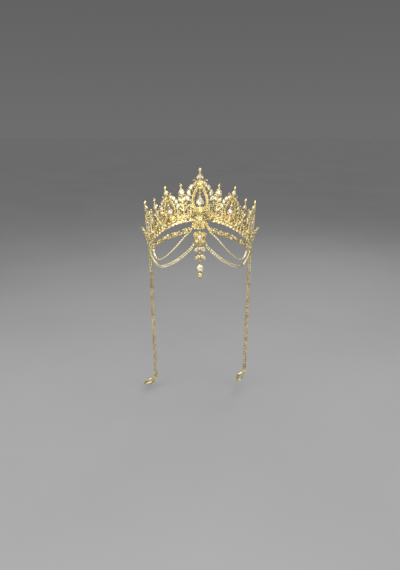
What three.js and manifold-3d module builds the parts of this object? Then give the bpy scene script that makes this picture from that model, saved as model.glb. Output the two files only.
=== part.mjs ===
// Bridal crown: an open tiara of soldered filigree with crystal stones, a brow vine, draped chains,
// a centre pendant with a swinging drop, and long side chains that end in clasps.
// Millimetres, +Z up, front towards -Y. The origin is the middle of the base ring, where the head goes in.
import * as THREE from 'three';
import { mergeVertices } from 'three/addons/utils/BufferGeometryUtils.js';
import Module from 'manifold-3d';

const wasm = await Module();
wasm.setup();

// Driving dimensions
const ring = { radius: 75, tilt: 30, flare: 8.2, endAngle: 97 };
const arch = { span: 66, edgeRise: 16, edgePower: 1.15, footRise: 22, footPower: 1.4 };
const plate = 0.8; // half the thickness of the pierced metal
const gap = 0.35;
const cupWall = 0.75;
const panelTall = 66.3;
const spireTall = 46;
const rail = { below: 0.7, scallop: 0.8, above: 2.8, steps: 44 };
const tail = { angle: 89, curl: 5.5, tall: 30 };
const eyelet = { width: 4.2, hole: 2.4 };
const bail = { radius: 1.9, wire: 0.45 };
const pendant = { depth: -63.5, flowerAt: 28.6, upperLeafAt: 16.5, lowerLeafAt: 5.2, tearAt: -6.1 };
const strand = { upper: 1.8, lower: 1.5, lowerPitch: 1.9, side: 2.3 };
const vine = { steps: 16, narrow: 1.2, wide: 2.9, thick: 1.1 };
const clasp = { scale: 1.4, thick: 1, ringRadius: 2, leverPivot: [3.4, -1.3] };

// Motifs that stand on the lower edge: foot angle round the ring, outward fan, height along the motif
const motifs = [
  { rank: 0, kind: 'panel', angle: 0, fan: 0, tall: 66.3 },
  { rank: 1, kind: 'spire', angle: 15.5, fan: 5, tall: 49 },
  { rank: 2, kind: 'panel', angle: 29, fan: 10, tall: 54.5 },
  { rank: 3, kind: 'spire', angle: 47, fan: 8, tall: 52.5 },
  { rank: 4, kind: 'panel', angle: 69, fan: 9, tall: 68.5 },
];
const fillers = [
  { angle: 8.5, fan: 2, scale: 0.75 },
  { angle: 21.5, fan: 5, scale: 0.8 },
  { angle: 40, fan: 8, scale: 1.65 },
  { angle: 55.5, fan: 6, scale: 2.1 },
];
const tailLeaves = [
  { fan: -8, long: 27 },
  { fan: 8, long: 36.5 },
  { fan: 36, long: 22 },
];

const { degToRad: rad } = THREE.MathUtils;
const tilt = rad(ring.tilt);
const flare = rad(ring.flare);
const acrossAxis = new THREE.Vector3(1, 0, 0);
const point = (x, y, z) => new THREE.Vector3(x, y, z);

const gold = new THREE.MeshStandardMaterial({ color: 0xd9b25a, roughness: 0.25, metalness: 1 });
const crystal = new THREE.MeshStandardMaterial({ color: 0xe8ecf2, roughness: 0.05, metalness: 0 });

// The wall, unrolled: x along the ring, y up the wall, z outwards. It is pierced flat and bent afterwards.

const wallRadius = (height) => ring.radius + height * Math.sin(flare);

const archShare = (angle) => Math.cos((Math.min(1, Math.abs(angle) / arch.span) * Math.PI) / 2);
const lowerEdge = (angle) => arch.edgeRise * archShare(angle) ** arch.edgePower;
const footLine = (angle) => arch.footRise * archShare(angle) ** arch.footPower;

function onWall(p) {
  const turn = p.x / ring.radius;
  const curled = THREE.MathUtils.smoothstep(Math.abs(turn), rad(tail.angle - 3), rad(tail.angle + 4));
  const lift = p.z + curled * tail.curl * (Math.max(0, p.y) / tail.tall) ** 2;
  const out = wallRadius(p.y) + lift * Math.cos(flare);
  const up = p.y * Math.cos(flare) - lift * Math.sin(flare);
  return point(out * Math.sin(turn), -out * Math.cos(turn), up).applyAxisAngle(acrossAxis, -tilt);
}

// From a motif's own plane, u across and v up from its foot, to the unrolled wall. Side -1 is mirrored.
function seat({ angle, fan = 0, scale = 1, side = 1, foot = footLine(angle) }) {
  const lean = rad(fan);
  return (p) => {
    const along = scale * (p.x * Math.cos(lean) + p.y * Math.sin(lean));
    const height = foot + scale * (p.y * Math.cos(lean) - p.x * Math.sin(lean));
    return point(side * ring.radius * (rad(angle) + along / wallRadius(height)), height, p.z);
  };
}

// Solids

function shaped(geometry, move) {
  const position = geometry.getAttribute('position');
  const at = new THREE.Vector3();
  for (let i = 0; i < position.count; i += 1) {
    const moved = move(at.fromBufferAttribute(position, i), i);
    position.setXYZ(i, moved.x, moved.y, moved.z);
  }
  return geometry;
}

function signedVolume(position, index) {
  const [a, b, c] = [point(), point(), point()];
  let six = 0;
  for (let i = 0; i < index.length; i += 3) {
    a.fromArray(position, 3 * index[i]);
    b.fromArray(position, 3 * index[i + 1]);
    c.fromArray(position, 3 * index[i + 2]);
    six += a.dot(b.cross(c));
  }
  return six / 6;
}

// A closed geometry as a solid whose faces point outwards, also where a placing has mirrored it
function solid(geometry) {
  const bare = new THREE.BufferGeometry();
  bare.setAttribute('position', geometry.getAttribute('position'));
  bare.setIndex(geometry.index);
  const merged = mergeVertices(bare, 1e-3);
  const vertProperties = merged.getAttribute('position').array;
  const all = merged.index.array;
  const kept = [];
  for (let i = 0; i < all.length; i += 3) {
    const [a, b, c] = [all[i], all[i + 1], all[i + 2]];
    if (a !== b && b !== c && c !== a) kept.push(a, b, c);
  }
  const triVerts = new Uint32Array(kept);
  if (signedVolume(vertProperties, triVerts) < 0) triVerts.reverse();
  return new wasm.Manifold(new wasm.Mesh({ numProp: 3, vertProperties, triVerts }));
}

const fuse = (geometries) => wasm.Manifold.union(geometries.map(solid));

function geometryOf(made) {
  const { vertProperties, triVerts } = made.getMesh();
  const geometry = new THREE.BufferGeometry();
  geometry.setAttribute('position', new THREE.BufferAttribute(new Float32Array(vertProperties), 3));
  geometry.setIndex(new THREE.BufferAttribute(new Uint32Array(triVerts), 1));
  return geometry;
}

// Pierced work: the metal fused flat, its recesses and holes cut out, then set in place
function pierced(metal, cuts, place) {
  return shaped(geometryOf(fuse(metal).subtract(fuse(cuts))), place);
}

const crown = new THREE.Group();

function add(name, geometry, material) {
  const mesh = new THREE.Mesh(geometryOf(solid(geometry)), material);
  mesh.geometry.computeVertexNormals();
  mesh.name = name;
  crown.add(mesh);
}

// Elements in a motif's own plane

const even = () => 1;
const thinning = (t) => 1 - 0.65 * t;
const leafy = (t) => 0.16 + 0.84 * Math.sin(Math.PI * (0.1 + 0.86 * t)) ** 0.9;

function ribbon(points, { half = 0.9, steps = 5, taper = even, thick = plate } = {}) {
  const curve = new THREE.SplineCurve(points.map(([u, v]) => new THREE.Vector2(u, v)));
  return shaped(new THREE.BoxGeometry(2, 1, 2, 1, steps, 1), (p) => {
    const t = p.y + 0.5;
    const middle = curve.getPoint(t);
    const ahead = curve.getTangent(t);
    const across = p.x * half * taper(t);
    return point(middle.x - ahead.y * across, middle.y + ahead.x * across, p.z * thick);
  });
}

const mirrored = (points) => points.map(([u, v]) => [-u, v]);
const ribbonPair = (points, options) => [ribbon(points, options), ribbon(mirrored(points), options)];

const outlines = {
  round: (a) => [Math.sin(a), Math.cos(a)],
  marquise: (a) => [Math.sign(Math.sin(a)) * Math.abs(Math.sin(a)) ** 1.5, Math.cos(a)],
  pear: (a) => [Math.sin(a) * (1 - 0.38 * Math.cos(a)), Math.cos(a)],
};

// Rows run from the back to the front: share of the outline, lift, extra width outside the outline
function turned({ cut = 'round', width, length = width, u = 0, v = 0, lean = 0, sides = 8 }, rows) {
  const profile = rows.map(([share, lift]) => new THREE.Vector2(share, lift));
  const middle = new THREE.Vector2(u, v);
  return shaped(new THREE.LatheGeometry(profile, sides), (p, i) => {
    const [share, lift, extra = 0] = rows[i % rows.length];
    const [x, y] = outlines[cut]((2 * Math.PI * Math.floor(i / rows.length)) / sides);
    const wide = share * (width / 2 + extra);
    const long = share * (length / 2 + extra);
    const at = new THREE.Vector2(u + x * wide, v + y * long);
    at.rotateAround(middle, -rad(lean));
    return point(at.x, at.y, lift);
  });
}

const stoneSeat = { floor: -0.1, rim: 1.3 };
const girdle = stoneSeat.floor + gap + 0.5;
const cutStone = (spec) => turned(spec, [
  [0, stoneSeat.floor + gap], [1, girdle], [1, girdle + 0.35], [0.58, girdle + 1.3], [0, girdle + 1.3],
]);
const prism = (spec, low, high, extra = 0) => turned(spec, [
  [0, low], [1, low, extra], [1, high, extra], [0, high],
]);
const boss = (spec) => prism(spec, -plate, plate);
const cup = (spec) => prism(spec, -plate, stoneSeat.rim, gap + cupWall);
const recess = (spec) => prism(spec, stoneSeat.floor, 4, gap);
const lug = (spec) => prism({ ...spec, width: eyelet.width, sides: 8 }, -plate, plate);
const lugHole = (spec) => prism({ ...spec, width: eyelet.hole, sides: 8 }, -4, 4);
const mirrorStone = (spec) => ({ ...spec, u: -spec.u, lean: -(spec.lean ?? 0) });
const withMirror = (spec) => [spec, mirrorStone(spec)];

// Motifs

const panelPear = { cut: 'pear', width: 7, length: 8.6, v: 54.3 };
const heartStone = { cut: 'pear', width: 8, length: 10.4, v: 20.5 };
const crestLeaves = [
  { cut: 'marquise', width: 4, length: 7.4, u: 7.4, v: 43.6, lean: -38 },
  { cut: 'marquise', width: 4.2, length: 7.6, u: 12.4, v: 39.4, lean: -8 },
  { cut: 'marquise', width: 4.2, length: 7.6, u: 15.4, v: 32.4, lean: 14 },
  { cut: 'marquise', width: 4.2, length: 7.6, u: 17, v: 25.2, lean: 36 },
].flatMap(withMirror);
const spireLeaf = { cut: 'marquise', width: 3.8, length: 7.2, u: 2.9, v: 25, lean: 30, sides: 6 };
const spireLeaves = withMirror(spireLeaf);
const spirePear = { cut: 'pear', width: 6, length: 7.6, v: 34.2 };

const ogiveRoute = [[1.2, 2], [6.5, 8.5], [10.2, 17], [9.8, 27], [6.6, 36], [0.8, 45.5]];
const crestRoute = [[9.6, 19], [15.4, 25], [15.4, 32.6], [11.8, 39.4], [4, 45.4]];

// The centre panel's crest is a branch with a cup for each leaf stone. On the side panels it is one
// scalloped band, wide enough for the same stones.
function centreCrest() {
  const branch = [[9.9, 20], [14, 24.5], [14.2, 32], [11, 39], [4.5, 45]];
  return [...ribbonPair(branch, { half: 0.8, steps: 4 }), ...crestLeaves.map(cup)];
}

function sideCrest() {
  const scallop = (t) => (Math.round(8 * t) % 2 ? 2.7 : 1.1);
  return ribbonPair(crestRoute, { half: 1, steps: 8, taper: scallop });
}

function panelMetal(crest) {
  return [
    ...ribbonPair(ogiveRoute, { half: 1.2, steps: 6 }),
    ...ribbonPair([[1, 3.6], [7, 7.4], [14, 7.4]], { half: 1.8, steps: 2, taper: leafy }),
    ...ribbonPair([[7.4, 10.5], [11.6, 14.6], [17.2, 15.6]], { half: 1.8, steps: 2, taper: leafy }),
    ribbon([[0, -1], [0, 61]], { half: 1, steps: 1 }),
    ribbon([[-7, 49], [-3.4, 46.4], [0, 45.6], [3.4, 46.4], [7, 49]], { half: 1.1, steps: 4 }),
    ...withMirror({ width: 3.4, u: 7.4, v: 49.4, sides: 6 }).map(boss),
    boss({ width: 4.4, v: 31, sides: 6 }),
    boss({ width: 5.6, v: 63.3 }),
    cup(panelPear),
    cup(heartStone),
    ...crest,
  ];
}

function spireMetal() {
  return [
    ribbon([[0, -1], [0, 42]], { half: 1, steps: 1 }),
    ...ribbonPair([[0, 8.6], [3.6, 13.5], [8, 15]], { half: 1.5, steps: 2, taper: leafy }),
    ...ribbonPair([[0, 14.2], [2.6, 18.8], [6.4, 20.6]], { half: 1.4, steps: 2, taper: leafy }),
    ...spireLeaves.map(boss),
    boss({ width: 4.8, v: 42.6 }),
    cup(spirePear),
  ];
}

function fillerMetal() {
  return [
    ...ribbonPair([[0, 2], [4.4, 7], [6.6, 13]], { half: 1.4, steps: 2, taper: leafy }),
    ribbon([[0, 1], [0, 20]], { half: 2, steps: 2, taper: leafy }),
  ];
}

// The crown frame

const sidesOf = ({ rank }) => (rank === 0 ? [1] : [-1, 1]);
const sideName = (side) => (side < 0 ? 'left' : 'right');
const motifScale = ({ kind, tall }) => tall / (kind === 'panel' ? panelTall : spireTall);
const motifSeat = (motif, side) => seat({ ...motif, side, scale: motifScale(motif) });
const placed = (geometries, at) => geometries.map((geometry) => shaped(geometry, at));

const bossSeat = seat({ angle: 0, foot: 0 });
const bossEyes = [{ u: 0, v: 5.2 }, ...withMirror({ u: 11, v: 6 })];
const bossSlots = withMirror({ cut: 'marquise', width: 2.2, length: 6.4, u: 9, v: 21.4, lean: -42 });
const terminals = [{ angle: 71, v: -2.2 }, { angle: 80, v: -2.2 }];

function lowerRail() {
  return shaped(new THREE.BoxGeometry(2, 1, 2, 1, rail.steps, 1), (p) => {
    const angle = 2 * p.y * ring.endAngle;
    const step = Math.round((p.y + 0.5) * rail.steps);
    const bottom = lowerEdge(angle) - rail.below - (step % 2 ? rail.scallop : 0);
    const height = p.x < 0 ? bottom : footLine(angle) + rail.above;
    return point(ring.radius * rad(angle), height, p.z * plate);
  });
}

function bossMetal() {
  return [
    ...withMirror({ width: 10, length: 11, u: 6.6, v: 9.6 }).map(boss),
    ribbon([[0, 18], [0, 4]], { half: 4.6, steps: 1 }),
    ...bossEyes.map(lug),
  ];
}

function frameMetal(side) {
  return [
    ...motifs.filter(({ rank }) => rank > 0).flatMap((motif) => (
      placed(motif.kind === 'panel' ? panelMetal(sideCrest()) : spireMetal(), motifSeat(motif, side))
    )),
    ...fillers.flatMap((filler) => placed(fillerMetal(), seat({ ...filler, side }))),
    ...tailLeaves.flatMap(({ fan, long }) => placed(
      [ribbon([[0, 2], [0, 2 + long]], { half: 2.6, steps: 4, taper: leafy })],
      seat({ angle: 94, fan, side }),
    )),
    ...terminals.flatMap(({ angle, v }) => placed([lug({ v })], seat({ angle, side }))),
  ];
}

function frameCuts(side) {
  return [
    ...motifs.filter(({ rank }) => rank > 0).flatMap((motif) => placed(
      motif.kind === 'panel' ? [recess(panelPear), recess(heartStone)] : [recess(spirePear)],
      motifSeat(motif, side),
    )),
    ...terminals.flatMap(({ angle, v }) => placed([lugHole({ v })], seat({ angle, side }))),
  ];
}

const centreSeat = motifSeat(motifs[0], 1);
const frame = pierced(
  [
    lowerRail(),
    ...placed(bossMetal(), bossSeat),
    ...placed(panelMetal(centreCrest()), centreSeat),
    ...frameMetal(-1),
    ...frameMetal(1),
  ],
  [
    ...placed(bossEyes.map(lugHole), bossSeat),
    ...placed(bossSlots.map((slot) => prism(slot, -4, 4)), bossSeat),
    ...placed([panelPear, heartStone, ...crestLeaves].map(recess), centreSeat),
    ...frameCuts(-1),
    ...frameCuts(1),
  ],
  onWall,
);
add('crown_frame', frame, gold);

// Stones that sit loose-fitting in their cups

for (const motif of motifs) {
  for (const side of sidesOf(motif)) {
    const tag = motif.rank === 0 ? 'centre' : `${sideName(side)}_${motif.rank}`;
    const at = (p) => onWall(motifSeat(motif, side)(p));
    const isPanel = motif.kind === 'panel';
    add(`pear_${tag}`, shaped(cutStone(isPanel ? panelPear : spirePear), at), crystal);
    if (isPanel) add(`heart_${tag}`, shaped(cutStone(heartStone), at), crystal);
  }
}
crestLeaves.forEach((leaf, i) => {
  const name = `crest_leaf_${sideName(leaf.u)}_${Math.floor(i / 2) + 1}`;
  add(name, shaped(cutStone(leaf), (p) => onWall(centreSeat(p))), crystal);
});

// The pendant: a four-lobed flower, and below it a drop of two leaf pairs and a tear on bail rings

const flowerStone = { cut: 'pear', width: 5, length: 8.2, v: 0.6 };
const tearStone = { cut: 'pear', width: 8.8, length: 12.2, v: -7.8 };
const leafPair = withMirror({ cut: 'marquise', width: 6.2, length: 9.8, u: 4.1, v: -3.4, lean: -52 });
const leafMiddle = { cut: 'pear', width: 4.8, length: 7.8, v: -3.6, lean: 180 };
const tearBead = { cut: 'pear', width: 6.8, length: 9, v: -17.7 };
const flowerLobes = [
  { width: 9.4, u: 4.4, v: 3.9 },
  { width: 8, u: 3.8, v: -5.2 },
].flatMap(withMirror);
const flowerEyes = [{ u: 0, v: -8.1 }, ...withMirror({ u: 8.2, v: -8.2 })];
const leafEye = [{ u: 0, v: -7.3 }];

const hung = (height) => (p) => point(p.x, pendant.depth - p.z, height + p.y);

function bailRing(v) {
  return new THREE.TorusGeometry(bail.radius, bail.wire, 5, 9).rotateY(Math.PI / 2).translate(0, v, 0);
}

const bailAbove = 2.35;
const flowerMetal = [
  ...flowerLobes.map(boss),
  ribbon([[0, 10.3], [0, -8]], { half: 1.6, steps: 1 }),
  cup(flowerStone),
  ...flowerEyes.map(lug),
  bailRing(12.2),
];
const leafMetal = [
  ribbon([[0, 0.6], [0, -6]], { half: 0.9, steps: 1 }),
  boss(leafMiddle),
  ...leafPair.map(boss),
  ...leafEye.map(lug),
  bailRing(bailAbove),
];
const tearMetal = [
  ribbon([[0, 0.6], [0, -18]], { half: 0.9, steps: 1 }),
  cup(tearStone),
  boss(tearBead),
  bailRing(bailAbove),
];

const flowerCuts = [recess(flowerStone), ...flowerEyes.map(lugHole)];
add('pendant_flower', pierced(flowerMetal, flowerCuts, hung(pendant.flowerAt)), gold);
add('flower_stone', shaped(cutStone(flowerStone), hung(pendant.flowerAt)), crystal);
add('drop_leaf_upper', pierced(leafMetal, leafEye.map(lugHole), hung(pendant.upperLeafAt)), gold);
add('drop_leaf_lower', pierced(leafMetal, leafEye.map(lugHole), hung(pendant.lowerLeafAt)), gold);
add('drop_tear', pierced(tearMetal, [recess(tearStone)], hung(pendant.tearAt)), gold);
add('tear_stone', shaped(cutStone(tearStone), hung(pendant.tearAt)), crystal);

// Brow vine and chains, as routes on the right side: x, y, z

const vineRoute = [
  [15.6, -62.6, 40.4], [24.6, -60.4, 36], [35, -56.6, 31.6], [44, -51.6, 27.4],
  [53.4, -44.4, 21.6], [61, -36, 14.8], [68, -25.4, 7.6],
];
const upperRoute = [
  [12.8, -63.2, 37.8], [20.5, -61.4, 30.2], [27.5, -59.2, 21.9], [34.6, -56.4, 13.2], [42, -52.6, 5],
  [49.5, -47.4, -2.4], [56.4, -41.2, -7], [61.2, -35.6, -7.6], [64.8, -30.6, -4], [67.2, -26.6, 3.4],
];
const lowerRoute = [
  [10.4, -63.4, 18], [14, -62.8, 13.6], [20.7, -61.4, 7], [28, -59.2, 0.6], [35, -56.6, -4.8],
  [42, -53, -9.4], [49.6, -48, -13.4], [55.5, -43, -15.6], [60.6, -38, -15.2], [66.6, -30.6, -10.2],
  [70.6, -23.6, -5], [73, -17, 0],
];
const routeOf = (rows, side) => new THREE.CatmullRomCurve3(rows.map(([x, y, z]) => point(side * x, y, z)));

// A chain's outer form: a round tube along its route
function tube(curve, diameter, steps) {
  const outline = new THREE.Shape(Array.from({ length: 8 }, (_, i) => new THREE.Vector2(
    (diameter / 2) * Math.cos((i * Math.PI) / 4),
    (diameter / 2) * Math.sin((i * Math.PI) / 4),
  )));
  return new THREE.ExtrudeGeometry(outline, { extrudePath: curve, steps });
}

// The vine's outer form: a band with a swelling at each cluster, its face turned away from the brow
function vineBand(curve) {
  return shaped(new THREE.BoxGeometry(2, 1, 2, 1, vine.steps, 1), (p) => {
    const t = p.y + 0.5;
    const ahead = curve.getTangentAt(t);
    const middle = curve.getPointAt(t);
    const out = point(middle.x, middle.y, 0).normalize();
    const across = ahead.clone().cross(out).normalize();
    const half = Math.round(t * vine.steps) % 2 ? vine.wide : vine.narrow;
    return middle.addScaledVector(across, p.x * half).addScaledVector(out, p.z * vine.thick);
  });
}

// A second strand under the first, square to its run and slacker in the middle
function below(curve, drop) {
  const shares = lowerRoute.map((_, i) => i / (lowerRoute.length - 1));
  return new THREE.CatmullRomCurve3(shares.map((t) => {
    const at = curve.getPoint(t);
    const down = curve.getTangent(t).cross(point(at.x, at.y, 0).normalize());
    down.multiplyScalar(-Math.sign(down.z));
    return at.addScaledVector(down, drop * (1 + 0.35 * Math.sin(Math.PI * t)));
  }));
}

const sideStrands = [
  { tag: 'outer', topX: 75.1, endX: 71.8 },
  { tag: 'inner', topX: 72.4, endX: 69 },
];
const sideRun = { y: -12.7, top: -1.6, left: -208, right: -194.5 };

for (const side of [-1, 1]) {
  const name = sideName(side);
  add(`brow_vine_${name}`, vineBand(routeOf(vineRoute, side)), gold);
  add(`upper_drape_${name}`, tube(routeOf(upperRoute, side), strand.upper, 17), gold);
  const lowerCurve = routeOf(lowerRoute, side);
  add(`lower_drape_${name}_1`, tube(lowerCurve, strand.lower, 16), gold);
  add(`lower_drape_${name}_2`, tube(below(lowerCurve, strand.lowerPitch), strand.lower, 16), gold);
  for (const { tag, topX, endX } of sideStrands) {
    const top = point(side * topX, sideRun.y, sideRun.top);
    const end = point(side * endX, sideRun.y, sideRun[name]);
    add(`side_chain_${name}_${tag}`, tube(new THREE.LineCurve3(top, end), strand.side, 12), gold);
  }
}

// Clasps in their own plane: a along the clasp from its tail eye, b across it. Roll -1 turns the back over.

const claspRows = [
  { name: 'left', x: -72.1, z: sideRun.left - 3.2, turn: 207, roll: 1 },
  { name: 'right', x: 69.3, z: sideRun.right - 4.9, turn: 238, roll: -1 },
];
const hookRoute = [[1.4, 0], [3.4, 1.9], [6.5, 2.6], [10, 1.9], [11.6, 0], [10.8, -1.9], [9.5, -2.6]];
const leverRoute = [clasp.leverPivot, [6, -2.5], [8.6, -2.9]];
const hookSwell = (t) => 1 + 0.9 * Math.sin(Math.PI * Math.min(t / 0.6, 1));

function claspRing(a) {
  return new THREE.TorusGeometry(clasp.ringRadius, bail.wire, 5, 10).rotateX(Math.PI / 2).translate(a, 0, 0);
}

for (const { name, x, z, turn, roll } of claspRows) {
  const [along, up] = [Math.cos(rad(turn)), Math.sin(rad(turn))];
  const at = (p) => {
    const [a, b, out] = [p.x, roll * p.y, roll * p.z].map((size) => clasp.scale * size);
    return point(x + a * along - b * up, sideRun.y - out, z + a * up + b * along);
  };
  const tailEye = { width: 3.8 };
  const body = [
    ribbon(hookRoute, { half: 0.9, steps: 8, thick: clasp.thick, taper: hookSwell }),
    prism(tailEye, -clasp.thick, clasp.thick),
  ];
  add(`clasp_body_${name}`, pierced(body, [prism({ ...tailEye, width: 2.2 }, -4, 4)], at), gold);
  add(`clasp_lever_${name}`, shaped(ribbon(leverRoute, { half: 0.7, steps: 2, thick: 0.9 }), at), gold);
  add(`clasp_ring_${name}`, shaped(claspRing(-1.5), at), gold);
  add(`clasp_end_ring_${name}`, shaped(claspRing(11.7), at), gold);
}

export default crown;
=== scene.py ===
import math
import bpy
import numpy as np
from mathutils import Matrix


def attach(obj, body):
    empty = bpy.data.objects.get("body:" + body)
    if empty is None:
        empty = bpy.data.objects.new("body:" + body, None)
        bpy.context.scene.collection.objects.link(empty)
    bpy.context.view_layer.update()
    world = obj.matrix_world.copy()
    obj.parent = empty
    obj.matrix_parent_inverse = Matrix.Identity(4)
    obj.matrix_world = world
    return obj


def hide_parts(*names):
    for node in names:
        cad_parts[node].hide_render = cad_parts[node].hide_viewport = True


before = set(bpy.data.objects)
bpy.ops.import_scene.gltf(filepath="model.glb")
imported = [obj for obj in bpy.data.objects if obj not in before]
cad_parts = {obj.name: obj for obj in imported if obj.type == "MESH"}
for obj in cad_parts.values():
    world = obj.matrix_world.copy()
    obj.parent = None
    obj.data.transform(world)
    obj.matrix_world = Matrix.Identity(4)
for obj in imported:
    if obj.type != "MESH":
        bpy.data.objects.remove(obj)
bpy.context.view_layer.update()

print("stage: frame loaded")

scene = bpy.context.scene
mm = 0.001
chance = np.random.default_rng(11)
sides = {"left": -1, "right": 1}
acrossRow, upRow, outRow = np.eye(3)  # the axes of a motif's own plane
facing = np.array([0, -1.0, 0])  # the way the front faces

# The wall, unrolled: along the ring, up the wall and outwards, in millimetres
ring = {"radius": 75, "tilt": math.radians(30), "flare": math.radians(8.2), "endAngle": 97}
arch = {"span": 66, "edgeRise": 16, "edgePower": 1.15, "footRise": 22, "footPower": 1.4}
tail = {"start": math.radians(86), "end": math.radians(93), "curl": 5.5, "tall": 30}


# Along the ring: its radius times an angle given in degrees
def alongRing(angle):
    return ring["radius"] * np.radians(angle)


# Wall radius: the ring's radius, growing with height by the sine of the flare
def wallRadius(height):
    return ring["radius"] + height * math.sin(ring["flare"])


# Arch share: a cosine that falls from one at the front to nothing at the arch's span
def archShare(angle):
    return np.cos(np.minimum(1, np.abs(angle) / arch["span"]) * np.pi / 2).clip(0)


# Lower edge: its rise times a power of the arch share
def lowerEdge(angle):
    return arch["edgeRise"] * archShare(angle) ** arch["edgePower"]


# Foot line, where the motifs stand: its own rise and power of the arch share
def footLine(angle):
    return arch["footRise"] * archShare(angle) ** arch["footPower"]


# Heading: the cosine and sine of a turn in degrees
def heading(turn):
    return np.array([math.cos(math.radians(turn)), math.sin(math.radians(turn))])


# On the wall: turned round the ring, leaning out by the flare, curled at the tails, tilted back about X
def onWall(flat):
    along, height, lift = np.moveaxis(np.asarray(flat, float), -1, 0)
    turn = along / ring["radius"]
    share = ((np.abs(turn) - tail["start"]) / (tail["end"] - tail["start"])).clip(0, 1)
    curled = share * share * (3 - 2 * share)
    lift = lift + curled * tail["curl"] * (height.clip(0) / tail["tall"]) ** 2
    out = wallRadius(height) + lift * math.cos(ring["flare"])
    up = height * math.cos(ring["flare"]) - lift * math.sin(ring["flare"])
    back = -out * np.cos(turn)
    cosTilt, sinTilt = math.cos(ring["tilt"]), math.sin(ring["tilt"])
    return np.stack([out * np.sin(turn), back * cosTilt + up * sinTilt, up * cosTilt - back * sinTilt], -1)


# Seat: a motif's plane, leaned by its fan and scaled, set on the wall at its foot angle
def seatOn(angle, fan=0, scale=1, side=1, foot=None):
    base = float(footLine(angle)) if foot is None else foot
    cosLean, sinLean = heading(fan)

    def place(local):
        u, v, lift = np.moveaxis(np.asarray(local, float), -1, 0)
        along = scale * (u * cosLean + v * sinLean)
        height = base + scale * (v * cosLean - u * sinLean)
        turn = math.radians(angle) + along / wallRadius(height)
        return onWall(np.stack([side * ring["radius"] * turn, height, lift], -1))

    return place


# Eye: the place of a ring's middle on its plate, and the way out of the plate
def eyeOn(place, u, v):
    middle = place(np.array([u, v, 0.0]))
    return middle, place(np.array([u, v, 1.0])) - middle


# Parts are vertices, four-sided faces and three-sided faces
noTris = np.zeros((0, 3), int)


# Joined: parts in one, the faces of each numbered on from the vertices before it
def joined(parts):
    starts = np.cumsum([0] + [len(part[0]) for part in parts[:-1]])
    verts = np.concatenate([part[0] for part in parts])
    quads = np.concatenate([part[1] + start for part, start in zip(parts, starts)])
    tris = np.concatenate([part[2] + start for part, start in zip(parts, starts)])
    return verts, quads, tris


# Flipped: the same part with the order of each face reversed
def flipped(part):
    return part[0], part[1][:, ::-1], part[2][:, ::-1]


# Placed: parts carried to their place, their faces reversed on the mirrored side
def placed(parts, place, side=1):
    verts, quads, tris = joined(parts)
    part = (place(verts), quads, tris)
    return part if side > 0 else flipped(part)


# Both sides: the part and its mirror image across the motif's middle
def bothSides(parts):
    part = joined(parts)
    return [part, flipped((part[0] * [-1, 1, 1], part[1], part[2]))]


# Copied faces: a part's faces once for each copy, numbered on by the part's vertices
def copiedFaces(faces, count, size):
    starts = np.arange(count)[:, None, None] * size
    return (faces[None] + starts).reshape(-1, faces.shape[1])


# Repeated: one small part at many centres, stretched by a size along each axis
def repeated(part, centres, sizes):
    verts, quads, tris = part
    centres = np.asarray(centres, float).reshape(-1, 3)
    sizes = np.asarray(sizes, float)
    sizes = np.broadcast_to(sizes[:, None] if sizes.ndim == 1 else sizes, centres.shape)
    moved = verts[None] * sizes[:, None] + centres[:, None]
    count, size = len(centres), len(verts)
    return moved.reshape(-1, 3), copiedFaces(quads, count, size), copiedFaces(tris, count, size)


# Grid faces: each row joined to the next all the way round, and the last row to the first where it closes
def gridFaces(rows, around, closed=False):
    i, j = np.meshgrid(np.arange(rows if closed else rows - 1), np.arange(around), indexing="ij")
    here, after = i * around, (i + 1) % rows * around
    right = (j + 1) % around
    return np.stack([here + j, here + right, after + right, after + j], -1).reshape(-1, 4)


# End caps: a fan of triangles over the first row and one over the last
def endCaps(rows, around):
    j = np.arange(1, around - 1)
    end = (rows - 1) * around
    return np.concatenate([
        np.stack([np.zeros_like(j), j + 1, j], -1),
        np.stack([np.full_like(j, end), end + j, end + j + 1], -1),
    ])


# Pole fans: the first row joined to the first of two poles that follow the rows, the last row to the second
def poleFans(rows, around):
    j = np.arange(around)
    k = (j + 1) % around
    pole, top = rows * around, (rows - 1) * around
    return np.concatenate([
        np.stack([np.full(around, pole), k, j], -1),
        np.stack([np.full(around, pole + 1), top + j, top + k], -1),
    ])


# Full turn: even angles once round, the last one short of the first
def fullTurn(count):
    return np.linspace(0, 2 * np.pi, count, endpoint=False)


# Ball: rings of latitude between two poles
def ball(rings, around):
    polar = np.linspace(0, np.pi, rings + 2)[1:-1, None]
    turn = fullTurn(around)[None]
    wide, high = np.sin(polar), -np.cos(polar)
    body = np.stack(np.broadcast_arrays(wide * np.cos(turn), wide * np.sin(turn), high), -1)
    verts = np.concatenate([body.reshape(-1, 3), [[0, 0, -1], [0, 0, 1]]])
    return verts, gridFaces(rings, around), poleFans(rings, around)


bead = ball(3, 7)
smoothBall = ball(9, 20)


# Unit: each row divided by its own length
def unit(rows):
    return rows / np.linalg.norm(rows, axis=-1, keepdims=True)


# Left of: a way in the plane, turned by a quarter
def leftOf(way):
    return np.stack([-way[..., 1], way[..., 0]], -1)


# Run: the length of a line of points up to each of them
def runOf(points):
    return np.concatenate([[0], np.cumsum(np.linalg.norm(np.diff(points, axis=0), axis=1))])


# At lengths: the values at set lengths of a run, each column by straight steps between the samples
def atLengths(values, run, lengths):
    return np.stack([np.interp(lengths, run, column) for column in values.T], -1)


# Cubic: the curve between two points that leaves one and arrives at the other with set slopes
def cubic(start, end, leave, arrive, w):
    third = (2 * start - 2 * end + leave + arrive) * w**3
    return third + (3 * end - 3 * start - 2 * leave - arrive) * w**2 + leave * w + start


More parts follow.
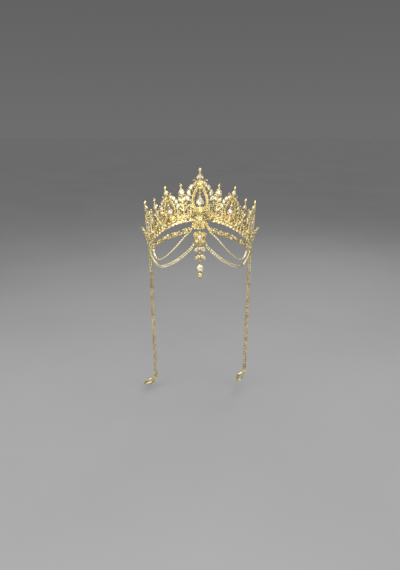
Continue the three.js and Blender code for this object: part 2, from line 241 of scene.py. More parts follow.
# Spline: a uniform Catmull-Rom curve through the points, at shares of its run
def spline(points, shares):
    rows = np.asarray(points, float)
    spans = len(rows) - 1
    run = np.clip(shares, 0, 1) * spans
    i = np.minimum(run.astype(int), spans - 1)
    before, start = rows[np.maximum(i - 1, 0)], rows[i]
    end, after = rows[i + 1], rows[np.minimum(i + 2, spans)]
    return cubic(start, end, (end - before) / 2, (after - start) / 2, (run - i)[:, None])


# Evenly: full width all along
def evenly(t):
    return np.ones_like(t)


# Leafy: narrow at the root, full past the middle, pointed at the tip
def leafy(t):
    return 0.16 + 0.84 * np.sin(np.pi * (0.1 + 0.86 * t)) ** 0.9


# Whip: a wire that thins towards its tip
def whip(t):
    return 1 - 0.6 * t


# Acanthus: a leaf whose edge is notched into lobes
def acanthus(t):
    return leafy(t) * (1 + 0.17 * np.cos(2 * np.pi * 4.5 * t))


# Sections run from the left edge over the front to the right edge and round the back
sections = {
    "wire": [(1, 0), (0.7, 0.7), (0, 1), (-0.7, 0.7), (-1, 0), (-0.7, -0.7), (0, -1), (0.7, -0.7)],
    "half": [(1, 0), (0.86, 0.55), (0.4, 0.93), (-0.4, 0.93), (-0.86, 0.55), (-1, 0), (-0.9, -1), (0.9, -1)],
    "keel": [(1, 0.05), (0.5, 0.4), (0, 1), (-0.5, 0.4), (-1, 0.05), (-0.85, -1), (0.85, -1)],
    "vein": [
        (1, 0.1), (0.8, 0.75), (0.42, 0.95), (0, 0.3), (-0.42, 0.95), (-0.8, 0.75), (-1, 0.1),
        (-0.8, -1), (0.8, -1),
    ],
}


# Ribbon: even shares of a curve in the motif's plane, its points there and the ways across it
def ribbon(points, steps):
    t = np.linspace(0, 1, steps)
    middle = spline(points, t)
    return t, middle, leftOf(unit(np.gradient(middle, axis=0)))


# Sweep: a section carried along a curve, thinner where it narrows, curling out by the square of the run
def sweep(points, half, front, back=0.7, steps=18, taper=evenly, lift=0, curl=0, section="half"):
    t, middle, across = ribbon(points, steps)
    shape = np.array(sections[section], float)
    width = taper(t)
    deep = 0.35 + 0.65 * np.minimum(width, 1)
    tall = shape[:, 1] * np.where(shape[:, 1] > 0, front, back)
    flat = middle[:, None] + across[:, None] * (width[:, None] * half * shape[None, :, 0])[..., None]
    out = lift + (curl * t**2)[:, None] + deep[:, None] * tall[None]
    verts = np.concatenate([flat, out[..., None]], -1)
    return verts.reshape(-1, 3), gridFaces(steps, len(shape)), endCaps(steps, len(shape))


# Veined: a leaf swept with two swells and a groove between them
def veined(points, half, front, lift=0, curl=0, steps=18, taper=leafy):
    return sweep(points, half, front, steps=steps, taper=taper, lift=lift, curl=curl, section="vein")


# Lobed: a veined leaf with an acanthus edge
def lobed(points, half, front, lift=0, curl=0, steps=18):
    return veined(points, half, front, lift, curl, steps, acanthus)


# Scroll: a thinning wire that ends in a bead
def scroll(points):
    wire = sweep(points, 0.5, 0.6, back=0.6, steps=16, taper=whip, section="wire")
    return [wire, repeated(bead, [[*points[-1], 0.2]], 0.8)]


# Row of beads: centres a set pitch apart along a curve, standing proud of it
def beadRow(points, pitch, radius, lift):
    fine = spline(points, np.linspace(0, 1, 120))
    run = runOf(fine)
    count = max(2, int(run[-1] / pitch) + 1)
    at = atLengths(fine, run, np.linspace(0, run[-1], count))
    return repeated(bead, np.concatenate([at, np.full((count, 1), lift)], -1), radius)


# Petals: veined leaves that radiate from one root, each with its turn in degrees and its length
def petals(root, rows, half, lift):
    made = []
    for turn, length in rows:
        way = heading(turn)
        bulge = 0.09 * length * np.sign(round(way[0], 6)) * leftOf(way)
        route = [root + 0.5 * way, root + 0.55 * length * way + bulge, root + length * way]
        made.append(veined(route, half, 1.1, lift, 0.4, 14))
    return made


# Herringbone: short leaves that leave a curve at even shares of its run and lean ahead
def herringbone(points, shares, start, reach, ahead, half, lift=0.2, curl=0.3):
    t = np.asarray(shares, float)
    at = spline(points, t)
    way = unit(spline(points, t + 0.01) - spline(points, t - 0.01))
    roots, tips = at + leftOf(way) * start, at + leftOf(way) * reach + way * ahead
    bends = (roots + tips) / 2 + way * 0.25 * ahead
    return [veined(route, half, 0.95, lift, curl, 12) for route in np.stack([roots, bends, tips], 1)]


# Outline of a cut: a circle, a marquise that thins by a power of the sine or a pear that narrows upwards
def outline(cut, angle):
    x, y = np.sin(angle), np.cos(angle)
    if cut == "marquise":
        x = np.sign(x) * np.abs(x) ** 1.5
    if cut == "pear":
        x = x * (1 - 0.38 * y)
    return x, y


# Stone ring: a share of the outline at one height, widened, leaned and moved to the stone's place
def stoneRing(stone, angle, share, lift, extra=0):
    x, y = outline(stone.get("cut", "round"), angle)
    wide = x * share * (stone["width"] / 2 + extra)
    tall = y * share * (stone.get("length", stone["width"]) / 2 + extra)
    lean = math.radians(stone.get("lean", 0))
    u = stone.get("u", 0) + wide * math.cos(lean) + tall * math.sin(lean)
    v = stone.get("v", 0) + tall * math.cos(lean) - wide * math.sin(lean)
    return np.stack([u, v, np.full(len(angle), lift)], -1)


# Turned: rows of share, lift and extra width from the back to the front, closed at both ends
def turned(stone, rows, around=24):
    rings = [stoneRing(stone, -fullTurn(around), *row) for row in rows]
    poles = [[stone.get("u", 0), stone.get("v", 0), row[1]] for row in (rows[0], rows[-1])]
    return np.concatenate([*rings, poles]), gridFaces(len(rows), around), poleFans(len(rows), around)


# A brilliant's counts of vertices and faces, its shares of the outline and its rises, two by the crown
cutCount = {"verts": 50, "fours": 24, "threes": 48}
cutSize = {"table": 0.57, "star": 0.8, "girdle": 0.3, "shoulder": 0.35, "tableRise": 0.75, "starRise": 0.45}


# Brilliant: a table in eight parts, stars, kites and girdle facets above, mains below, in one fixed order
def brilliant(stone, lift=0.75, crown=1.3, pavilion=0.5):
    eighth = np.pi / 4
    step, j = np.arange(8), np.arange(16)
    shoulder = lift + cutSize["shoulder"]
    tableLift = shoulder + crown * cutSize["tableRise"]
    rings = [
        stoneRing(stone, -(step + 0.5) * eighth, cutSize["table"], tableLift),
        stoneRing(stone, -step * eighth, cutSize["star"], shoulder + crown * cutSize["starRise"]),
        stoneRing(stone, -j * eighth / 2, 1, lift + cutSize["girdle"]),
        stoneRing(stone, -j * eighth / 2, 1, lift),
    ]
    middle = [stone.get("u", 0), stone.get("v", 0)]
    verts = np.concatenate([*rings, [[*middle, lift - pavilion], [*middle, tableLift]]])
    table, star, girdle, under, point, top = 0, 8, 16, 32, 48, 49
    nextStep, lastStep, k = (step + 1) % 8, (step - 1) % 8, (j + 1) % 16
    quads = np.concatenate([
        np.stack([table + step, star + step, girdle + 2 * step + 1, star + nextStep], -1),
        np.stack([under + j, under + k, girdle + k, girdle + j], -1),
    ])
    tris = np.concatenate([
        np.stack([np.full(8, top), table + step, table + nextStep], -1),
        np.stack([table + lastStep, star + step, table + step], -1),
        np.stack([star + step, girdle + 2 * step, girdle + 2 * step + 1], -1),
        np.stack([star + step, girdle + (2 * step - 1) % 16, girdle + 2 * step], -1),
        np.stack([under + k, under + j, np.full(16, point)], -1),
    ])
    return verts, quads, tris


# Cup: a closed saucer with a rim round the stone
def cup(stone, wall=0.75, rim=1.25, around=24):
    gap, floor, back = 0.12, 0.1, -0.75
    return turned(stone, [
        (1, back, wall * 0.45), (1, back + 0.35, wall + gap), (1, rim - 0.25, wall + gap),
        (1, rim, gap + wall * 0.6), (1, rim, gap + 0.05), (1, floor, gap),
    ], around)


# Rim beads: milgrain set round a cup, evenly by the angle of its outline
def rimBeads(stone, count, radius=0.34, extra=0.6, lift=1.2):
    return repeated(bead, stoneRing(stone, fullTurn(count), 1, lift, extra), radius)


# Claws: rounded prongs that lean over the stone's edge
def claws(stone, angles, lift=1.5):
    return repeated(bead, stoneRing(stone, np.radians(angles), 1, lift, 0.1), [(0.55, 0.55, 0.8)])


# Mounted: a stone's cup with beads round its rim and claws over its edge
def mounted(stone, beads, angles):
    return [cup(stone), rimBeads(stone, beads), claws(stone, angles)]


thirds, ends = [0, 120, 240], [0, 180]  # where a stone has its claws


# Loops: closed wires, each in the plane of its two axes, squared off by a power of the sine and cosine
def loops(centres, longAxis, shortAxis, halfLong, halfShort, wire, around=12, section=6, power=1.0):
    cosTurn, sinTurn = np.cos(fullTurn(around)), np.sin(fullTurn(around))
    x = halfLong * np.sign(cosTurn) * np.abs(cosTurn) ** power
    y = halfShort * np.sign(sinTurn) * np.abs(sinTurn) ** power
    dx, dy = np.roll(x, -1) - np.roll(x, 1), np.roll(y, -1) - np.roll(y, 1)
    size = np.hypot(dx, dy)
    spin = fullTurn(section)
    alongX = x[:, None] + wire * (dy / size)[:, None] * np.cos(spin)
    alongY = y[:, None] + wire * (-dx / size)[:, None] * np.cos(spin)
    square = np.broadcast_to(wire * np.sin(spin), alongX.shape)
    axes = (centres, longAxis, shortAxis)
    centres, longAxis, shortAxis = (np.asarray(axis, float).reshape(-1, 1, 1, 3) for axis in axes)
    verts = centres + longAxis * alongX[..., None] + shortAxis * alongY[..., None]
    verts = verts + np.cross(longAxis, shortAxis) * square[..., None]
    faces = gridFaces(around, section, True)[:, ::-1]
    return verts.reshape(-1, 3), copiedFaces(faces, len(verts), around * section), noTris


# Round ring: a loop at a centre in the motif, in the plane of two of its axes
def roundRing(centre, axes, radius, wire, around=20):
    return loops([centre], *axes, radius, radius, wire, around, 8)


# Eyelet: a flat ring in the motif's plane
def eyelet(u, v):
    return roundRing([u, v, 0], (acrossRow, upRow), 1.6, 0.5, 18)


# Material: a principled shader with its tree
def shaderOf(name):
    material = bpy.data.materials.new(name)
    material.use_nodes = True
    return material, material.node_tree, material.node_tree.nodes["Principled BSDF"]


# Sockets: constants set on a node by the names of its inputs
def setSockets(node, values):
    for name, value in values.items():
        node.inputs[name].default_value = value


# Ramp: a colour at each stop
def rampNode(tree, source, stops):
    ramp = tree.nodes.new("ShaderNodeValToRGB")
    elements = ramp.color_ramp.elements
    for _ in stops[2:]:
        elements.new(0.5)
    for element, (spot, colour) in zip(elements, stops):
        element.position = spot
        element.color = (*colour, 1)
    tree.links.new(source, ramp.inputs["Fac"])
    return ramp.outputs["Color"]


# Noise: a value that wanders in object space
def noiseNode(tree, scale, detail=3):
    coords = tree.nodes.new("ShaderNodeTexCoord")
    noise = tree.nodes.new("ShaderNodeTexNoise")
    setSockets(noise, {"Scale": scale, "Detail": detail})
    tree.links.new(coords.outputs["Object"], noise.inputs["Vector"])
    return noise.outputs["Fac"]


# Range: the middle of a noise spread from a low value to a high one
def rangeNode(tree, source, low, high):
    spread = tree.nodes.new("ShaderNodeMapRange")
    setSockets(spread, {"From Min": 0.3, "From Max": 0.7, "To Min": low, "To Max": high})
    tree.links.new(source, spread.inputs["Value"])
    return spread.outputs["Result"]


# Gold: colour in soft patches, roughness and a fine bump from one grain
def goldMaterial(name, stops, rough, bumpDepth):
    material, tree, shader = shaderOf(name)
    setSockets(shader, {"Metallic": 1})
    grain = noiseNode(tree, 1500, 2)
    bump = tree.nodes.new("ShaderNodeBump")
    setSockets(bump, {"Strength": 0.5, "Distance": bumpDepth})
    tree.links.new(rampNode(tree, noiseNode(tree, 190), stops), shader.inputs["Base Color"])
    tree.links.new(rangeNode(tree, grain, *rough), shader.inputs["Roughness"])
    tree.links.new(grain, bump.inputs["Height"])
    tree.links.new(bump.outputs["Normal"], shader.inputs["Normal"])
    return material


# Cut stone: each facet's painted light, a brightness read from the mesh, is made a colour by a ramp: painted
# glints and painted dark reflections in the base colour
def stoneMaterial(name, stops, metallic):
    material, tree, shader = shaderOf(name)
    # Painted glints and reflections: the brightness stored on each facet of the mesh
    paintedFacetLight = tree.nodes.new("ShaderNodeAttribute")
    paintedFacetLight.attribute_name = "paintedFacetLight"
    tree.links.new(rampNode(tree, paintedFacetLight.outputs["Fac"], stops), shader.inputs["Base Color"])
    tree.links.new(rangeNode(tree, noiseNode(tree, 420), 0.03, 0.1), shader.inputs["Roughness"])
    setSockets(shader, {"Metallic": metallic, "IOR": 1.9, "Coat Weight": 0.4, "Coat Roughness": 0.02})
    return material


# Pearl: colour and roughness from one slow lustre
def pearlMaterial(name, stops):
    material, tree, shader = shaderOf(name)
    lustre = noiseNode(tree, 260)
    tree.links.new(rampNode(tree, lustre, stops), shader.inputs["Base Color"])
    tree.links.new(rangeNode(tree, lustre, 0.12, 0.26), shader.inputs["Roughness"])
    setSockets(shader, {"Metallic": 0.35, "Coat Weight": 0.5})
    return material


# Golds: two colours at their stops, the range of roughness and the depth of the bump in metres
golds = {
    "paleGold": ([(0.25, (0.53, 0.415, 0.165)), (0.6, (0.81, 0.69, 0.36))], (0.14, 0.3), 0.00012),
    "chainGold": ([(0.3, (0.80, 0.68, 0.35)), (0.65, (0.97, 0.89, 0.58))], (0.18, 0.3), 0.00005),
    # Side chains: the gold's own random tone, spread wide into painted highlights and painted shade in
    # patches along the links
    "sideChainGoldPaintedGlints": ([(0.35, (0.50, 0.385, 0.15)), (0.62, (0.95, 0.83, 0.48))], (0.1, 0.22), 0.00005),
}
gold, chainGold, sideGoldPaintedGlints = (goldMaterial(name, *look) for name, look in golds.items())

# Crystals: four colours from the darkest facet to the lightest, painted reflections from dark shade to white
# glints over each stone's own tint, and how metallic they mirror
crystals = {
    "clearCrystal": ([
        (0.0, (0.16, 0.12, 0.05)), (0.25, (0.48, 0.40, 0.24)),
        (0.55, (0.82, 0.75, 0.54)), (1.0, (0.95, 0.91, 0.78)),
    ], 0.3),
    "creamCrystal": ([
        (0.0, (0.22, 0.16, 0.06)), (0.3, (0.55, 0.45, 0.25)),
        (0.6, (0.82, 0.73, 0.50)), (1.0, (0.95, 0.90, 0.74)),
    ], 0.34),
    "champagneCrystal": ([
        (0.0, (0.32, 0.21, 0.06)), (0.4, (0.68, 0.51, 0.22)),
        (0.75, (0.88, 0.75, 0.43)), (1.0, (0.96, 0.89, 0.68)),
    ], 0.42),
}
clear, cream, champagne = (stoneMaterial(name, *look) for name, look in crystals.items())
pearl = pearlMaterial("pearlBead", [
    (0.3, (0.44, 0.37, 0.22)), (0.5, (0.58, 0.51, 0.36)), (0.7, (0.50, 0.44, 0.31)),
])
print("stage: materials")


# Shown: an object for the data, linked into the scene
def shown(name, data):
    thing = bpy.data.objects.new(name, data)
    scene.collection.objects.link(thing)
    return thing


# A piece: whole arrays into one mesh, riding its body and standing for its CAD nodes, sharp over an angle
def addPiece(name, parts, material, body="crown", nodes=(), flat=False, sharp=42):
    verts, quads, tris = joined(parts)
    mesh = bpy.data.meshes.new(name)
    mesh.vertices.add(len(verts))
    mesh.loops.add(4 * len(quads) + 3 * len(tris))
    mesh.polygons.add(len(quads) + len(tris))
    mesh.vertices.foreach_set("co", (verts * mm).ravel())
    mesh.loops.foreach_set("vertex_index", np.concatenate([quads.ravel(), tris.ravel()]))
    starts = np.concatenate([4 * np.arange(len(quads)), 4 * len(quads) + 3 * np.arange(len(tris))])
    mesh.polygons.foreach_set("loop_start", starts)
    mesh.update(calc_edges=True)
    mesh.polygons.foreach_set("use_smooth", np.full(len(mesh.polygons), not flat))
    if not flat:
        mesh.set_sharp_from_angle(angle=math.radians(sharp))
    mesh.materials.append(material)
    piece = shown(name, mesh)
    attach(piece, body)
    if nodes:
        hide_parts(*nodes)
    return piece


# Stones: brilliants in one mesh, a random painted brightness on each facet for glints and reflections, and a
# painted highlight on every second table part
def addStones(name, parts, material, body="crown", nodes=()):
    piece = addPiece(name, parts, material, body, nodes, True)
    count = len(joined(parts)[0]) // cutCount["verts"]
    fours = chance.random((count, cutCount["fours"]))
    threes = chance.random((count, cutCount["threes"]))
    table = np.arange(8)
    # Painted highlight: every second part of the table is made lighter
    threes[:, table] = 0.25 + 0.5 * threes[:, table] + 0.25 * (table % 2)
    paintedFacetLight = piece.data.attributes.new("paintedFacetLight", "FLOAT", "FACE")
    paintedFacetLight.data.foreach_set("value", np.concatenate([fours.ravel(), threes.ravel()]))


# Setting: a collet and the brilliant in it, the rows giving share, rise over the lift and extra width
def setting(stone, lift):
    rows = [(0.7, -1.0, 0), (1, -0.4, 0.3), (1, 0.35, 0.42), (1, 0.6, 0.22), (1, 0.2, 0)]
    collet = turned(stone, [(share, lift + rise, extra) for share, rise, extra in rows], 14)
    return collet, brilliant(stone, lift + 0.25, 0.75 + 0.12 * stone["width"], 0.4)


# Settings: round chips from rows of place and width, as a list of gold and a list of stones
def settings(rows, lift=0.3):
    pairs = [setting({"u": u, "v": v, "width": width}, lift) for u, v, width in rows]
    return [pair[0] for pair in pairs], [pair[1] for pair in pairs]


# Paired settings: the gold of one half, to be mirrored with it, and the stones of both halves
def pairedSettings(rows, lift=0.3):
    mirrorRows = [(-u, v, width) for u, v, width in rows]
    return settings(rows, lift)[0], settings(rows + mirrorRows, lift)[1]


# Mirror stone: the stone on the other side of the motif's middle
def mirrorStone(stone):
    return {**stone, "u": -stone["u"], "lean": -stone.get("lean", 0)}


# Motif parts: the middle, a half with its mirror image and the settings of both, as gold and chips
def motifParts(motif, middle, half, middleLift):
    collets, chips = pairedSettings(motif["chips"])
    middleGold, middleChips = settings(motif["middle"], middleLift)
    return middle + bothSides(half + collets) + middleGold, chips + middleChips


# Panel: an ogive with a heart stone, a crest of leaf stones, a pear and a finial
panel = {
    "tall": 66.3,
    "stem": [(0, -1), (0, 61)],
    "ogive": [(1.2, 2), (6.5, 8.5), (10.2, 17), (9.8, 27), (6.6, 36), (0.8, 45.5)],
    "branch": [(9.9, 20), (14, 24.5), (14.2, 32), (11, 39), (4.5, 45)],
    "collar": [(-7, 49), (-3.4, 46.4), (0, 45.6), (3.4, 46.4), (7, 49)],
    "pear": {"cut": "pear", "width": 7, "length": 8.6, "v": 54.3},
    "heart": {"cut": "pear", "width": 8, "length": 10.4, "v": 20.5},
    "crest": [
        {"cut": "marquise", "width": 4.7, "length": 8, "u": 7.4, "v": 43.6, "lean": -38},
        {"cut": "marquise", "width": 4.9, "length": 8.2, "u": 12.4, "v": 39.4, "lean": -8},
        {"cut": "marquise", "width": 4.9, "length": 8.2, "u": 15.4, "v": 32.4, "lean": 14},
        {"cut": "marquise", "width": 4.9, "length": 8.2, "u": 17, "v": 25.2, "lean": 36},
    ],
    "leaves": [([(1, 3.6), (7, 7.4), (14, 7.4)], 2.1), ([(7.4, 10.5), (11.6, 14.6), (17.2, 15.6)], 2.0)],
    "sprigs": [[(6.6, 48.6), (8, 50.4), (8.4, 52.6)], [(6.6, 48.8), (9, 49.4), (10.8, 48.6)]],
    "palmette": [(22, 11.6), (38, 11.8), (53, 11.4), (67, 10.6), (79, 10)],
    "scrolls": [
        [(0.4, 26.6), (3.2, 27.6), (4.6, 30.2), (4.4, 33.4)],
        [(10.6, 19), (13.2, 19.6), (14.6, 17.8), (13.6, 16.4)],
    ],
    "chips": [(12.9, 21.6, 2.2), (12.2, 28.6, 2.3), (9.7, 34.4, 2.2), (7.2, 39.2, 1.9), (7.6, 49.6, 2.0)],
    "middle": [(0, 31.4, 4.2), (0, 5.4, 3.0)],
    "beads": [(0, 47.6, 0.6), (0, 49.2, 0.5), (0, 59.9, 0.2)],
    "beadSizes": [1.3, 1.05, 1.3],
    "finial": {"v": 63.4, "size": (2.5, 3.3, 2.5), "tip": 66.3},
}


# Panel parts: stem, collar and stones in the middle, ogive, leaves, scrolls and crest in the half
def panelParts():
    middle = [
        sweep(panel["stem"], 0.85, 0.8, steps=24),
        sweep(panel["collar"], 0.95, 1.1, steps=22),
        beadRow(panel["collar"], 1.15, 0.45, 1.0),
        *mounted(panel["pear"], 22, thirds),
        *mounted(panel["heart"], 26, [0, 110, 180, 250]),
        repeated(bead, panel["beads"], panel["beadSizes"]),
    ]
    middle += petals((0, 3), [(90, 9.8)], 1.35, 1.1)
    middle += petals((0, 48), [(turn, 6.6) for turn in (-150, -126, -102, -78, -54, -30)], 1.25, 1.0)
    middle += petals((0, 41.4), [(turn, 4.8) for turn in (-140, -115, -90, -65, -40)], 1.05, 0.7)
    half = [
        sweep(panel["ogive"], 1.15, 1.0, steps=30),
        beadRow(panel["ogive"], 1.2, 0.52, 0.95),
        sweep(panel["branch"], 0.6, 0.7, steps=22),
    ]
    half += [sweep(route, 0.75, 0.8, steps=8, taper=leafy, section="keel") for route in panel["sprigs"]]
    half += [lobed(route, width, 1.15, 0, 0.6, 22) for route, width in panel["leaves"]]
    half += herringbone(panel["ogive"], np.linspace(0.24, 0.9, 11), 0.6, 3.6, 2.6, 1.05)
    half += petals((0, 3), panel["palmette"], 1.3, 0.9)
    for route in panel["scrolls"]:
        half += scroll(route)
    for stone in panel["crest"]:
        half += [cup(stone, 0.5, 1.15), claws(stone, ends, 1.4)]
    return motifParts(panel, middle, half, 0.9)


# Spire: a stem with leaf pairs, two leaf stones, a pear and a finial
spire = {
    "tall": 46,
    "stem": [(0, -1), (0, 42)],
    "pear": {"cut": "pear", "width": 6, "length": 7.6, "v": 34.2},
    "leafStone": {"cut": "marquise", "width": 3.4, "length": 6.8, "u": 2.9, "v": 25, "lean": 30},
    "leaves": [
        ([(0, 8.6), (3.6, 13.5), (8, 15)], 1.6), ([(0, 14.2), (2.6, 18.8), (6.4, 20.6)], 1.5),
        ([(0, 28), (3, 30), (5.6, 29.4)], 1.0), ([(0, 1.5), (3.6, 4.2), (7.2, 4)], 1.5),
    ],
    "scroll": [(0.4, 5), (3.6, 6.6), (5.2, 10), (3.4, 11.8), (2.4, 10.4)],
    "chips": [(4.6, 17.2, 1.8), (5.8, 10.6, 1.9)],
    "middle": [(0, 20.4, 2.3), (0, 9.4, 2.2)],
    "beads": [(0, 28.4, 0.6), (0, 39.3, 0.3), (0, 45.6, 0)],
    "beadSizes": [1.2, 1.1, 0.8],
    "finial": {"v": 42.6, "size": 2.2},
}


# Spire parts: stem, pear and finial in the middle, leaves, scroll and leaf stone in the half
def spireParts():
    middle = [
        sweep(spire["stem"], 0.85, 0.8),
        *mounted(spire["pear"], 20, thirds),
        repeated(bead, spire["beads"], spire["beadSizes"]),
        repeated(smoothBall, [(0, spire["finial"]["v"], 0)], spire["finial"]["size"]),
    ]
    half = [lobed(route, width, 1.0, 0, 0.6) for route, width in spire["leaves"]]
    half += scroll(spire["scroll"]) + [cup(spire["leafStone"], 0.5, 1.05, 20)]
    return motifParts(spire, middle, half, 0.5)


# Filler: a low spray of three leaves with small stones
filler = {
    "centre": [(0, 1), (0, 20)],
    "pair": [(0, 2), (4.4, 7), (6.6, 13)],
    "foot": [(0.6, 2), (4, 3.2), (7.4, 2.6)],
    "chips": [(3.4, 11.4, 2.4), (6.6, 6.2, 2.6)],
    "middle": [(0, 6.4, 3.6), (0, 13.6, 2.4), (0, 20.6, 2.0)],
}


# Filler parts: one leaf in the middle, two in the half
def fillerParts():
    half = [
        lobed(filler["pair"], 1.5, 1.0, 0, 0.6),
        sweep(filler["foot"], 1.1, 0.9, taper=leafy, section="keel"),
    ]
    return motifParts(filler, [lobed(filler["centre"], 2.1, 1.0, 0, 0.5, 22)], half, 0.5)


# Plume: a tall spray of three ribs, by their route, the half width of the leaf and the count of leaflets
plume = {
    "ribs": [
        ([(0, 1), (0.3, 10), (0, 19.4)], 2.0, 13),
        ([(0, 2), (4.4, 7), (6.4, 12.6)], 1.5, 9),
        ([(0, 2), (-4.4, 7), (-6.4, 12.6)], 1.5, 9),
    ],
    "from": 0.16,
    "to": 0.92,
    "foot": (0, 4.6, 3.0),
    "tip": {"above": 0.8, "width": 2.2},
    "chips": {"shares": np.array([0.3, 0.5, 0.7]), "width": 1.7},
}


# Plume parts: leaflets on both sides of each rib, as long as the leaf is wide there, and stones along it
def plumeParts(scale):
    parts, rows = [], [plume["foot"]]
    for route, half, count in plume["ribs"]:
        rib = np.array(route) * scale
        parts.append(sweep(rib, 0.75, 1.0, steps=24, taper=whip))
        for t in np.linspace(plume["from"], plume["to"], count):
            reach = half * scale * float(leafy(t)) * 1.05
            for flip in (1, -1):
                parts += herringbone(rib, [t], 0.2 * flip, reach * flip, 2.6, 1.0, 0.1)
        rows.append((rib[-1, 0], rib[-1, 1] + plume["tip"]["above"], plume["tip"]["width"]))
        rows += [(*at, plume["chips"]["width"]) for at in spline(rib, plume["chips"]["shares"])]
    collets, chips = settings(rows, 0.9)
    return parts + collets, chips


# Motifs: kind, rank from the middle, foot angle, fan and height
motifs = [
    ("panel", 0, 0, 0, 66.3), ("spire", 1, 15.5, 5, 49), ("panel", 2, 29, 10, 54.5),
    ("spire", 3, 47, 8, 52.5), ("panel", 4, 69, 9, 68.5),
]
# Fillers and plumes: foot angle, fan and scale
fillers = [(8.5, 2, 0.75), (21.5, 5, 0.8), (63, -4, 1.0), (76, 16, 1.0), (84, 14, 1.15)]
plumes = [(40, 8, 1.65), (55.5, 6, 2.1)]

# Kits: the height a motif is drawn at, its parts, main stones by the names of their nodes, leaf stones
kits = {
    "panel": {
        "tall": panel["tall"], "parts": panelParts(),
        "main": {"pear": panel["pear"], "heart": panel["heart"]},
        "leaves": [stone for half in panel["crest"] for stone in (half, mirrorStone(half))],
    },
    "spire": {
        "tall": spire["tall"], "parts": spireParts(), "main": {"pear": spire["pear"]},
        "leaves": [spire["leafStone"], mirrorStone(spire["leafStone"])],
    },
}
frameGold = {"centre": [], **{name: [] for name in sides}}
mainStones, leafStones, chipStones, pearls, mainNodes = [], [], [], [], []


# Motif: gold to its side of the frame and chips to the small stones, both carried to their place
def addMotif(sideName, made, chips, place, side=1):
    frameGold[sideName].append(placed(made, place, side))
    if chips:
        chipStones.append(placed(chips, place, side))


for kind, rank, angle, fan, tall in motifs:
    kit = kits[kind]
    for sideName, side in (sides.items() if rank else [("centre", 1)]):
        place = seatOn(angle, fan, tall / kit["tall"], side)
        addMotif(sideName, *kit["parts"], place, side)
        mainStones.append(placed([brilliant(stone) for stone in kit["main"].values()], place, side))
        leafStones.append(placed([brilliant(stone, 0.6, 1.1) for stone in kit["leaves"]], place, side))
        tag = f"{sideName}_{rank}" if rank else "centre"
        mainNodes += [f"{stone}_{tag}" for stone in kit["main"]]
        if kind == "panel":
            finial = [repeated(smoothBall, [(0, panel["finial"]["v"], 0)], [panel["finial"]["size"]])]
            tip = [repeated(bead, [(0, panel["finial"]["tip"], 0)], 0.7 if rank else 0.45)]
            (frameGold[sideName] if rank else pearls).append(placed(finial, place, side))
            addMotif(sideName, tip, [], place, side)
for sideName, side in sides.items():
    for angle, fan, scale in fillers:
        addMotif(sideName, *fillerParts(), seatOn(angle, fan, scale, side), side)
    for angle, fan, scale in plumes:
        addMotif(sideName, *plumeParts(scale), seatOn(angle, fan, 1, side), side)
print("stage: motifs")

# Band: two curved strips from the lower edge to the foot line, between wires that run right across
band = {
    "steps": 150, "open": 13, "below": 0.5, "above": 2.2, "half": 0.55,
    "profile": [(1, -1), (0, -1), (0, 1), (1, 1)],
}
bandAngle = np.linspace(-ring["endAngle"], ring["endAngle"], band["steps"])
bandAlong = alongRing(bandAngle)
bandLow, bandHigh = lowerEdge(bandAngle) - band["below"], footLine(bandAngle) + band["above"]
profile = np.array(band["profile"], float)
bandParts = []
for kept in (bandAngle <= -band["open"], bandAngle >= band["open"]):
    count = int(kept.sum())
    strip = np.stack([
        np.broadcast_to(bandAlong[kept, None], (count, 4)),
        bandLow[kept, None] + (bandHigh - bandLow)[kept, None] * profile[None, :, 0],
        np.broadcast_to(profile[None, :, 1] * band["half"], (count, 4)),
    ], -1)
    last = 4 * (count - 1)
    stripCaps = np.array([[0, 3, 2, 1], [last, last + 1, last + 2, last + 3]])
    bandParts.append((strip.reshape(-1, 3), np.concatenate([gridFaces(count, 4), stripCaps]), noTris))
bandParts += [
    sweep(np.stack([bandAlong, bandHigh], -1), 0.6, 1.2, steps=band["steps"]),
    sweep(np.stack([bandAlong, bandLow], -1), 0.45, 0.9, steps=band["steps"]),
]

# Edge stones: a set pitch apart along the lower edge, clear of the centre boss, with beads between them
edge = {
    "end": 95, "clear": 9.6, "pitch": 6.3, "stone": 4.4, "rise": 0.3, "lift": 0.5,
    "bead": 1.05, "beadDrop": 0.5,
}
edgeAngle = np.linspace(-edge["end"], edge["end"], 800)
edgeRun = runOf(np.stack([alongRing(edgeAngle), lowerEdge(edgeAngle)], -1))
edgeSpots = np.interp(np.arange(0, edgeRun[-1], edge["pitch"]), edgeRun, edgeAngle)
edgeSpots = edgeSpots[np.abs(edgeSpots) > edge["clear"]]
edgeRows = [(alongRing(angle), lowerEdge(angle) + edge["rise"], edge["stone"]) for angle in edgeSpots]
edgeGold, edgeStones = settings(edgeRows, edge["lift"])
between = (edgeSpots[1:] + edgeSpots[:-1]) / 2
between = between[np.abs(between) > edge["clear"]]
beadLift = np.full(len(between), edge["lift"])
edgeBeads = np.stack([alongRing(between), lowerEdge(between) - edge["beadDrop"], beadLift], -1)
bandParts += edgeGold + [repeated(bead, edgeBeads, edge["bead"])]

# Garland: leaves along the band that lean away from the middle, a low one and one that grows with the room
garland = {
    "angles": np.linspace(10.5, 95, 20), "rise": 2.4, "bend": (0, 0.5),
    "low": {"turn": 28, "length": 7.2}, "high": {"turn": 62, "length": 3.6, "growth": 0.7},
}
for side in sides.values():
    for angle in garland["angles"]:
        foot = np.array([side * alongRing(angle), lowerEdge(angle) + garland["rise"]])
        room = footLine(angle) - lowerEdge(angle)
        for row in (garland["low"], garland["high"]):
            length = row["length"] + row.get("growth", 0) * room
            way = heading(row["turn"]) * [side, 1]
            bend = foot + 0.55 * length * way + np.array(garland["bend"])
            bandParts.append(veined([foot, bend, foot + length * way], 1.35, 1.1, 0.6, 0.3, 12))

